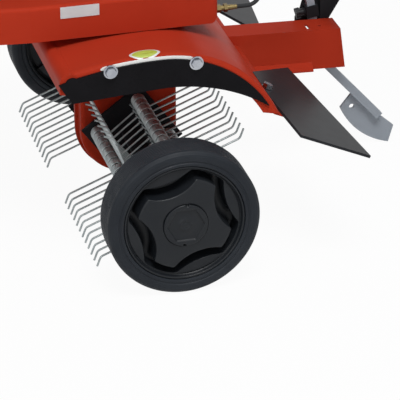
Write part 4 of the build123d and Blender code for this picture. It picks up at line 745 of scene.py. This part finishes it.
@dataclass
class Wheel:
    """One wheel: ribbed tyre, star-faced rim and round cap with a sunk hexagon."""

    side: Side
    sizes: WheelSizes = WheelSizes()
    tyre_sizes: TyreSizes = TyreSizes()
    face_sizes: FaceSizes = FaceSizes()
    barrel_sizes: BarrelSizes = BarrelSizes()
    cap_sizes: CapSizes = CapSizes()

    @property
    def centre(self) -> Point:
        """Middle of the wheel."""
        return (0.0, self.side.value * self.sizes.track / 2, self.sizes.axle_height)

    def tyre(self) -> Thing:
        """Makes the tyre: a closed section turned about the axle.

        Half the section is a stepped wall and a quarter-round shoulder with fine cuts, and it is
        mirrored. Between the halves the tread dips by a clipped cosine wave, one to each rib.

        Returns:
            The tyre.
        """
        s, t = self.sizes, self.tyre_sizes
        flat, base = t.half_width - t.shoulder, s.radius - t.shoulder
        wall = [(t.half_width - inset, s.rim_radius + up) for inset, up in t.wall]
        wall.append((t.half_width - t.wall_end[0], base - t.wall_end[1]))
        shoulder = quarter_round((flat, base), t.shoulder, t.shoulder_steps)
        cuts = slice(*t.shoulder_cuts)
        shoulder[cuts] -= (shoulder[cuts] - (flat, base)) * t.shoulder_cut
        across = np.linspace(flat, -flat, t.ribs * t.rib_steps + 1)
        wave = 0.5 - 0.5 * np.cos(FULL_TURN * t.ribs * (across + flat) / (2 * flat))
        dip = t.rib_depth * np.clip(t.rib_slope * (1 - wave) - t.rib_crest, 0, 1)
        tread = np.stack([across, s.radius - dip], axis=-1)
        half = np.concatenate([dense(wall, t.wall_spacing, t.wall_hold), shoulder])
        profile = np.concatenate([half, tread, half[::-1] * (-1, 1)])
        grid = revolve(profile, self.centre, self.side, s.steps)
        builder = MeshBuilder().grid(grid, wrap_rows=True, wrap_columns=True)
        name = f"tyre_{self.side.label}_ribbed"
        return builder.make(name, TYRE.build(), self.side is Side.LEFT)

    def _scallop(self, angles: Array, near: float, middle: float, reach: float) -> Array:
        """Cuts round scallops towards the hub, one between each two arms of the star.

        By the angle off a scallop's middle, the edge is the middle's radius by the cosine, less
        the root of the scallop's radius squared minus the middle's radius by the sine squared. A
        soft minimum of it and the reach, by logarithm and exponentials, rounds the corners.

        Args:
            angles: Angles about the hub.
            near: Radius of the edge at its nearest to the hub.
            middle: Radius at which the scallop's own middle lies.
            reach: Radius that the edge is limited to.

        Returns:
            Radius of the edge at each angle.
        """
        f = self.face_sizes
        turn = (np.degrees(angles) - f.star_angle) % (360.0 / f.arms)
        off = np.radians(turn - 180.0 / f.arms)
        inside = np.maximum((middle - near) ** 2 - (middle * np.sin(off)) ** 2, 0)
        edge = middle * np.cos(off) - np.sqrt(inside)
        return -f.softness * np.log(np.exp(-edge / f.softness) + np.exp(-reach / f.softness))

    def _dome(self, radius: Array) -> Array:
        """Finds the star's level, which falls from the cap to the arms' tips.

        Args:
            radius: Radii on the star.

        Returns:
            The level at each radius: the top less the fall by a line and a square of the share.
        """
        f, cap = self.face_sizes, self.sizes.cap_radius
        share = np.clip((radius - cap) / (f.star_reach - cap), 0, 1)
        fall = f.dome_straight * share + (1 - f.dome_straight) * share**2
        return f.star_top - (f.star_top - f.star_tip) * fall

    def rim_face(self) -> Thing:
        """Makes the rim's outer face: a domed star, a deep recess round it, four lobes, a lip.

        It is a row of rings from the hub outwards. Those of the dome lie between the hub and the
        star's edge by even shares. Those of the lobes swell by a parabola over the lobe's width.

        Returns:
            The rim's face.
        """
        s, f = self.sizes, self.face_sizes
        angles = around(s.steps * 2)
        star = self._scallop(angles, f.star_waist, f.star_centre, f.star_reach)
        lobe = self._scallop(angles, f.lobe_inner, f.lobe_centre, f.lobe_foot)
        level = np.ones_like(angles)
        hub, recess = s.cap_radius + f.hub_gap, level * f.recess_level
        rows: list[Ring] = [(level * hub, level * (f.star_top - f.hub_depth))]
        for share in np.linspace(0.0, 1.0, f.dome_steps):
            radius = hub * (1 - share) + (star + f.dome_end) * share
            rows.append((radius, self._dome(radius)))
        rows += rings(star, self._dome(star), f.star_edge)
        rows += rings(star, recess, f.star_foot)
        rows += rings(lobe, recess, f.lobe_root)
        rows += rings(lobe, level * f.lobe_level, f.lobe_edge)
        start = lobe + f.lobe_edge[-1][0]
        width = f.lobe_foot + f.lobe_overrun - start
        for share in np.linspace(f.lobe_first, 1.0, f.lobe_steps):
            swell = f.lobe_swell * width * 4 * share * (1 - share)
            rows.append((start + width * share, f.lobe_level + swell))
        rows += rings(level * f.lobe_foot, level * f.lobe_level, f.groove)
        rows += rings(level * f.lip_radius, level * f.lip_level, f.lip_inside)
        rows += rings(level * s.rim_radius, level * f.lip_level, f.lip_outside)
        return self._ringed(rows, angles, f"rim_{self.side.label}_face")

    def _ringed(self, rows: Sequence[Ring], angles: Array, name: str) -> Thing:
        """Makes a piece of rings: X and Z are each radius by cosine and sine, Y is the level.

        Args:
            rows: Radius and level of each ring, from the hub outwards.
            angles: Angles of the rings' points.
            name: Name of the piece.

        Returns:
            The piece.
        """
        radius = np.stack([row[0] for row in rows])
        level = np.stack([row[1] for row in rows])
        x = self.centre[0] - radius * np.cos(angles)
        y = self.centre[1] + self.side.value * level
        z = self.centre[2] + radius * np.sin(angles)
        builder = MeshBuilder().grid(np.stack([x, y, z], axis=-1), wrap_columns=True)
        return builder.make(name, WHEEL_PLASTIC.build(), self.side is Side.RIGHT)

    def rim_barrel(self) -> Thing:
        """Makes the barrel, web and hub, one profile turned about the axle, and their ribs.

        Returns:
            The barrel, which shows from behind.
        """
        s, b = self.sizes, self.barrel_sizes
        rim = s.rim_radius - s.rim_gap
        profile = dense([(level, rim - depth) for level, depth in b.wall] + [*b.web], b.spacing)
        grid = revolve(profile, self.centre, self.side, s.steps)
        builder = MeshBuilder().grid(grid, wrap_columns=True)
        for angle in around(b.ribs) + b.rib_turn:
            builder.grid(self._rib(angle), wrap_columns=True)
        name = f"rim_{self.side.label}_barrel"
        return builder.make(name, WHEEL_PLASTIC.build(), self.side is Side.LEFT)

    def _rib(self, angle: float) -> Array:
        """Carries the rib's section outwards along an angle, with its height growing by a line.

        Args:
            angle: Angle of the rib about the hub.

        Returns:
            Grid of sections x section points x 3.
        """
        b = self.barrel_sizes
        radius = np.linspace(*b.rib_radii, b.rib_steps)[:, None]
        low = np.linspace(*b.rib_levels, b.rib_steps)[:, None]
        section = np.array(b.rib_section)
        across = section[:, 0] * b.rib_half
        level = b.rib_root + section[:, 1] * (low - b.rib_root)
        x = radius * np.cos(angle) - across * np.sin(angle)
        z = radius * np.sin(angle) + across * np.cos(angle)
        y = self.centre[1] + self.side.value * level
        return np.stack([x, y, z + self.centre[2]], axis=-1)

    def cap(self) -> Thing:
        """Makes the cap: a small central ring, a sunk hexagon and a round edge with two notches.

        The hexagon's radius is its apothem over the cosine of the angle off each flat's middle.
        A notch's depth falls by a clipped line with the angle away from its middle.

        Returns:
            The cap.
        """
        s, c = self.sizes, self.cap_sizes
        angles = around(s.steps)
        one = np.ones_like(angles)
        hexagon = c.apothem / np.cos(angles % (np.pi / 3) - np.pi / 6)
        away = np.abs((angles - np.radians(c.notch_angle) + np.pi / 2) % np.pi - np.pi / 2)
        notch = np.clip(c.notch_flank - away / c.notch_width, 0, 1)
        rows: list[Ring] = [(one * radius, one * (c.floor + up)) for radius, up in c.middle]
        rows += [(hexagon * share, one * (c.floor + up)) for share, up in c.hexagon_inside]
        rows += [(hexagon * share, one * (c.top + up)) for share, up in c.hexagon_edge]
        rows += [
            (one * (s.cap_radius - inset), c.top - depth - extra * notch)
            for inset, depth, extra in c.edge
        ]
        return self._ringed(rows, angles, f"hub_cap_{self.side.label}_moulded")

    def build(self) -> None:
        """Makes the wheel's pieces and puts them on the wheel's body."""
        body = Body.wheel(self.side).value
        name = self.side.label
        for piece, node, slot in (
            (self.tyre(), f"tyre_{name}", "tyre"),
            (self.rim_face(), f"rim_{name}", "black_plastic"),
            (self.rim_barrel(), f"rim_{name}", "black_plastic"),
            (self.cap(), f"hub_cap_{name}", "black_plastic"),
        ):
            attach(piece, body)
            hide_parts(node)


# ---------------- reel springs
@dataclass(frozen=True)
class SpringSizes:
    """Sizes of the tine springs and where they sit on the reel, with angles in degrees."""

    rods: int = 4
    per_rod: int = 12
    pitch: float = 0.0187
    start: float = 0.0462
    rod_circle: float = 0.054
    reel_angle: float = 8.8
    axle_height: float = 0.110
    wire: float = 0.0015
    wire_steps: int = 8
    coil: float = 0.0095
    turns: int = 6
    turn_pitch: float = 0.0185 / 6
    turn_steps: int = 15
    leave_angle: float = 149.82
    brace_normal: float = 132.45
    brace_end: Pair = (-0.01098, -0.04656)
    brace_shift: float = 0.0032
    brace_slope: float = 0.2
    brace_steps: int = 12
    bend: Pair = (0.09477, 0.08899)
    bend_trim: float = 0.0035
    bend_steps: int = 5
    tine_steps: int = 8
    tip: Pair = (0.10993, 0.09224)


@dataclass
class SpringSet:
    """All tine springs on one half of the reel, as real coils with their tines and brace legs."""

    side: Side
    sizes: SpringSizes = SpringSizes()

    def _wire_line(self, brace_shift: float) -> Array:
        """Draws the middle line of one spring, with its rod's bearing at zero degrees.

        The brace leg is a line that steps sideways near its end, the coil is a helix, the tine
        is a line, and the bend before its tip is a quadratic curve.

        Args:
            brace_shift: How far the brace leg lies outside the coil's first turn.

        Returns:
            Points x 3.
        """
        s = self.sizes
        sweep = s.brace_normal - s.leave_angle + 360.0 * (s.turns - 1)
        steps = s.turn_steps * (s.turns - 1)
        angles = np.radians(s.brace_normal - np.linspace(0, sweep, steps))
        along = np.linspace(0.5, s.turns - 0.5, steps) * s.turn_pitch
        x = s.rod_circle + s.coil * np.cos(angles)
        coil = np.stack([x, along, s.coil * np.sin(angles)], axis=-1)
        brace_end = np.array([s.brace_end[0], along[0], s.brace_end[1]])
        leg = np.linspace(0, 1, s.brace_steps)[:-1]
        brace = brace_end + (coil[0] - brace_end) * leg[:, None]
        brace[:, 1] += brace_shift * np.clip((1 - leg) / s.brace_slope, 0, 1)
        bend = np.array([s.bend[0], along[-1], s.bend[1]])
        tip = np.array([s.tip[0], along[-1], s.tip[1]])
        inward = (coil[-1] - bend) / np.linalg.norm(coil[-1] - bend)
        outward = (tip - bend) / np.linalg.norm(tip - bend)
        start, end = bend + inward * s.bend_trim, bend + outward * s.bend_trim
        share = np.linspace(0, 1, s.bend_steps)[:, None]
        corner = (1 - share) ** 2 * start + 2 * share * (1 - share) * bend + share**2 * end
        tine = coil[-1] + (start - coil[-1]) * np.linspace(0, 1, s.tine_steps)[1:-1, None]
        rest = np.array([end + (tip - end) * 0.5, tip])
        return np.concatenate([brace, coil, tine, corner, rest])

    def build(self) -> None:
        """Makes every spring, turned about the axle to its rod and moved to its place on it."""
        s = self.sizes
        skins = [
            tube(self._wire_line(shift), s.wire, s.wire_steps) for shift in (0.0, s.brace_shift)
        ]
        builder = MeshBuilder()
        for rod in range(s.rods):
            skin = skins[rod % 2]
            turn = np.radians(s.reel_angle + 360.0 / s.rods * rod)
            x = skin[..., 0] * np.cos(turn) - skin[..., 2] * np.sin(turn)
            z = skin[..., 0] * np.sin(turn) + skin[..., 2] * np.cos(turn) + s.axle_height
            for number in range(s.per_rod):
                y = self.side.value * (skin[..., 1] + s.start + number * s.pitch)
                builder.grid(np.stack([x, y, z], axis=-1), wrap_columns=True)
        name = self.side.label
        steel = SPRING_STEEL.build()
        piece = builder.make(f"tine_springs_{name}_wound", steel, self.side is Side.LEFT)
        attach(piece, Body.REEL.value)
        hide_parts(f"tine_springs_{name}")


# ---------------- labels and plates
@dataclass(frozen=True)
class LabelSizes:
    """Sizes of the bare label on the hood's left edge and of the bare plate on the deck.

    The hood's crest is an arc behind the crown and a flatter one, the brow, before it. The
    strip's low and high edges are degrees round the hood's rounded edge from its top.
    """

    hood_half: float = 0.280
    hood_edge: float = 0.008
    crown_x: float = 0.012
    crown_z: float = 0.337
    arch_z: float = 0.151
    arch: float = 0.186
    brow: float = 0.583
    strip_start: float = 0.100
    strip_end: float = -0.036
    strip_low: float = 96.0
    strip_high: float = 52.0
    strip_lift: float = 0.00025
    strip_rounding: float = 0.05
    strip_steps: int = 80
    strip_rows: int = 10
    oval_x: float = 0.034
    oval_y: float = 0.2685
    oval_half_x: float = 0.022
    oval_half_y: float = 0.0115
    oval_steps: int = 72
    oval_rings: tuple[float, ...] = (0.001, 0.35, 0.7, 0.97, 1.0)
    oval_sink: float = 0.0002
    steepest: float = 0.98
    border_lift: float = 0.0005
    badge_lift: float = 0.0008
    badge_scale: float = 0.82
    plate_x: Pair = (0.0800, 0.1355)
    plate_y: float = 0.19535
    plate_z: Pair = (0.3700, 0.3872)
    plate_lift: float = 0.0003
    plate_spacing: float = 0.004
    thickness: float = 0.0002


@dataclass
class Labels:
    """Bare label strip with a plain oval, and a bare rating plate."""

    sizes: LabelSizes = LabelSizes()

    def _crest(self, x: Array) -> Array:
        """Finds the hood's crest: a centre's height plus the root of radius squared less X squared.

        Args:
            x: Positions along the machine.

        Returns:
            The crest's height at each.
        """
        s = self.sizes
        rear = s.arch_z + np.sqrt(np.maximum(s.arch**2 - (x - s.crown_x) ** 2, 0))
        front = s.crown_z - s.brow + np.sqrt(s.brow**2 - (x - s.crown_x) ** 2)
        return np.where(x < s.crown_x, rear, front)

    def strip(self) -> Thing:
        """Makes the white strip round the hood's long edge, with rounded ends.

        Across the strip the turn about the edge's centre goes by even shares, and the edge's
        radius by its sine and cosine gives the points' Y and their drop below the crest.

        Returns:
            The strip.
        """
        s = self.sizes
        share = np.linspace(0, 1, s.strip_steps)
        ends = np.clip(np.minimum(share, 1 - share) / s.strip_rounding, 0, 1) ** 0.5
        middle = (s.strip_low + s.strip_high) / 2
        part = np.linspace(0, 1, s.strip_rows)[:, None]
        turn = np.radians(middle + (s.strip_low - middle) * (2 * part - 1) * ends)
        radius = s.hood_edge + s.strip_lift
        x = np.broadcast_to(s.strip_start + (s.strip_end - s.strip_start) * share, turn.shape)
        y = s.hood_half - s.hood_edge + radius * np.sin(turn)
        z = self._crest(x) - (s.hood_edge - radius * np.cos(turn))
        builder = MeshBuilder().grid(np.stack([x, y, z], axis=-1))
        return builder.make("label_strip", LABEL_WHITE.build())

    def oval(self, scale: float, lift: float, finish: Finish, name: str) -> Thing:
        """Makes an oval on the hood's top: shares of an ellipse, dropped onto the rounded edge.

        Args:
            scale: Share of the oval's full size.
            lift: Height above the hood.
            finish: Finish of the oval.
            name: Name of the piece.

        Returns:
            The oval.
        """
        s = self.sizes
        angles = around(s.oval_steps)
        share = np.array(s.oval_rings)[:, None]
        x = s.oval_x + scale * share * s.oval_half_x * np.cos(angles)
        y = s.oval_y + scale * share * s.oval_half_y * np.sin(angles)
        over = np.clip((y - (s.hood_half - s.hood_edge)) / s.hood_edge, 0, s.steepest)
        drop = s.hood_edge * (1 - np.sqrt(1 - over**2))
        z = self._crest(x) - drop + lift - np.where(share == 1.0, s.oval_sink, 0.0)
        builder = MeshBuilder().grid(np.stack([x, y, z], axis=-1), wrap_columns=True)
        return builder.make(name, finish.build())

    def plate(self) -> Thing:
        """Makes the thin upright plate on the deck's left wall.

        Returns:
            The plate.
        """
        s = self.sizes
        across, upright = (
            dense([(low, 0.0), (high, 0.0)], s.plate_spacing)[:, 0]
            for low, high in (s.plate_x, s.plate_z)
        )
        x, z = np.meshgrid(across, upright)
        y = np.full_like(x, s.plate_y + s.plate_lift)
        builder = MeshBuilder().grid(np.stack([x, y, z], axis=-1))
        return builder.make("rating_plate", PLATE.build())

    def build(self) -> None:
        """Makes the label and the plate and gives them their thickness."""
        s = self.sizes
        for piece in (
            self.strip(),
            self.oval(1.0, s.border_lift, LABEL_WHITE, "label_oval_border"),
            self.oval(s.badge_scale, s.badge_lift, LABEL_LIME, "label_oval"),
            self.plate(),
        ):
            solid = piece.modifiers.new("sheet", "SOLIDIFY")
            solid.thickness = s.thickness
            solid.offset = -1.0
            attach(piece, Body.CHASSIS.value)


# ---------------- carried-over nodes
class CarriedNodes:
    """Gives every shown frame node its finish."""

    FINISHES: ClassVar[dict[Finish, tuple[str, ...]]] = {
        ZINC: (
            "reel_axle", "axle_collars", "chassis_fasteners", "drive_bearings", "tension_arm",
            "idler_pulley",
        ),
        SPRING_STEEL: ("spring_rods",),
        BLACK_PAINT: (
            "reel_frame_left", "reel_frame_right", "handlebar_bracket", "handlebar_left",
            "handlebar_right", "handlebar_brace", "clutch_lever",
        ),
        ORANGE: (
            "gear_case_left", "gear_case_right", "gear_case_cap", "hood", "rear_beam",
            "deck_shell", "deck_floor",
        ),
        BRONZE: ("worm_wheel",),
        SOFT_RUBBER: (
            "axle_seals", "drive_belt", "spark_plug", "handlebar_grips", "control_cables",
        ),
        DARK_STEEL: ("worm_shaft", "crankshaft", "muffler"),
        GLOSS_SHEET: ("skirt_left", "skirt_right"),
        FLAP_SHEET: ("rear_flap_left", "rear_flap_right"),
        GREY_PAINT: ("drag_stake",),
        MATT_PLASTIC: (
            "stake_knob", "blower_housing", "recoil_cover", "fuel_tank", "fuel_cap", "engine_trim",
            "air_filter", "lever_mounts", "throttle_lever",
        ),
        CAST_IRON: ("driven_pulley", "engine_pulley"),
        ALUMINIUM: ("engine_block", "cylinder_head", "carburettor", "flywheel_fan"),
        BRASS: ("cable_adjuster",),
    }

    def build(self) -> None:
        """Puts each finish on its nodes and reports them."""
        for finish, names in self.FINISHES.items():
            material = finish.build()
            for name in names:
                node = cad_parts[name]
                for place in node.material_slots:
                    place.material = material
                if not node.material_slots:
                    node.data.materials.append(material)
                LOG.info("put %s on %s", finish.name, name)


# ---------------- studio
@dataclass(frozen=True)
class View:
    """Camera position, its angles in degrees, and its lens and sensor in millimetres."""

    position: Point = (0.90762, 3.85602, 1.96834)
    heading: float = 14.8564
    elevation: float = 26.7188
    roll: float = -0.3152
    lens: float = 263.036
    sensor: float = 36.0
    nearest: float = 0.05
    farthest: float = 60.0


@dataclass(frozen=True)
class Lamp:
    """One soft round area light, with its power in watts."""

    name: str
    position: Point
    target: Point
    size: float
    power: float


@dataclass(frozen=True)
class Room:
    """The surround's light and the floor's size, colour and share of plain white."""

    light: Colour = (0.93, 0.96, 1.0)
    light_strength: float = 0.22
    white_strength: float = 1.0
    floor_colour: Colour = (0.86, 0.86, 0.86)
    floor_roughness: float = 0.9
    floor_white: float = 0.95
    floor_half: float = 6.0
    floor_level: float = -0.0006
    floor_points: int = 5


@dataclass
class Studio:
    """Pale floor, white surround, soft lights and the camera."""

    view: View = View()
    room: Room = Room()
    lamps: tuple[Lamp, ...] = (
        Lamp("key", (0.1, 2.1, 3.8), (0.0, 0.1, 0.25), 1.8, 112.0),
        Lamp("fill", (2.2, 3.6, 1.2), (0.0, 0.2, 0.2), 2.2, 21.0),
        Lamp("back", (-2.6, -1.8, 2.6), (-0.2, 0.0, 0.3), 1.6, 10.0),
    )

    def camera(self) -> None:
        """Sets the scene's camera, whose axes come from the sines and cosines of its angles."""
        v = self.view
        heading, rise, roll = np.radians([v.heading, v.elevation, v.roll])
        level = np.cos(rise)
        back = np.array([np.sin(heading) * level, np.cos(heading) * level, np.sin(rise)])
        right = np.array([-np.cos(heading), np.sin(heading), 0.0])
        up = np.cross(back, right)
        matrix = np.eye(4)
        matrix[:3, 0] = right * np.cos(roll) + up * np.sin(roll)
        matrix[:3, 1] = up * np.cos(roll) - right * np.sin(roll)
        matrix[:3, 2] = back
        matrix[:3, 3] = v.position
        data = bpy.data.cameras.new("camera")
        data.sensor_width = v.sensor
        data.sensor_fit = "HORIZONTAL"
        data.lens = v.lens
        data.clip_start, data.clip_end = v.nearest, v.farthest
        thing = bpy.data.objects.new("camera", data)
        thing.matrix_world = Matrix(matrix.tolist())
        bpy.context.scene.collection.objects.link(thing)
        bpy.context.scene.camera = thing

    def lights(self) -> None:
        """Adds the area lights, each turned to its target."""
        for lamp in self.lamps:
            data = bpy.data.lights.new(lamp.name, "AREA")
            data.shape = "DISK"
            data.size = lamp.size
            data.energy = lamp.power
            thing = bpy.data.objects.new(lamp.name, data)
            thing.location = lamp.position
            aim = Vector(lamp.target) - Vector(lamp.position)
            thing.rotation_euler = aim.to_track_quat("-Z", "Y").to_euler()
            bpy.context.scene.collection.objects.link(thing)

    def surround(self) -> None:
        """Sets a pale surround that the camera sees as white."""
        room = self.room
        world = bpy.data.worlds.new("surround")
        world.use_nodes = True
        graph = NodeGraph(world.node_tree)
        light = graph.add("Background", Color=room.light, Strength=room.light_strength)
        white = graph.add("Background", Color=WHITE, Strength=room.white_strength)
        graph.add("OutputWorld", Surface=graph.mix_shaders(graph.seen_directly(), light, white))
        bpy.context.scene.world = world

    def floor(self) -> None:
        """Adds the pale floor, which keeps a faint shadow because it is only partly white."""
        room = self.room
        across = np.linspace(-room.floor_half, room.floor_half, room.floor_points)
        x, y = np.meshgrid(across, across)
        z = np.full_like(x, room.floor_level)
        builder = MeshBuilder().grid(np.stack([x, y, z], axis=-1))
        graph = MaterialGraph("floor")
        graph.feed(graph.shader, Base_Color=room.floor_colour, Roughness=room.floor_roughness)
        white = graph.add("Emission", Color=WHITE)
        share = graph.reckon(Arithmetic.MULTIPLY, graph.seen_directly(), room.floor_white)
        graph.feed(graph.output, Surface=graph.mix_shaders(share, graph.shader, white))
        piece = builder.make("floor", graph.material, flip=True)

    def build(self) -> None:
        """Sets up the whole studio."""
        self.camera()
        self.lights()
        self.surround()
        self.floor()
        bpy.context.scene.view_settings.view_transform = "Standard"


def main() -> None:
    """Builds the machine's sub-assemblies in order, then its studio, and reports each."""
    logging.basicConfig(level=logging.INFO)
    for assembly in (
        CarriedNodes(),
        Wheel(Side.LEFT),
        Wheel(Side.RIGHT),
        SpringSet(Side.LEFT),
        SpringSet(Side.RIGHT),
        Labels(),
        Studio(),
    ):
        LOG.info("building %s", type(assembly).__name__)
        assembly.build()


if __name__ == "__main__":
    main()
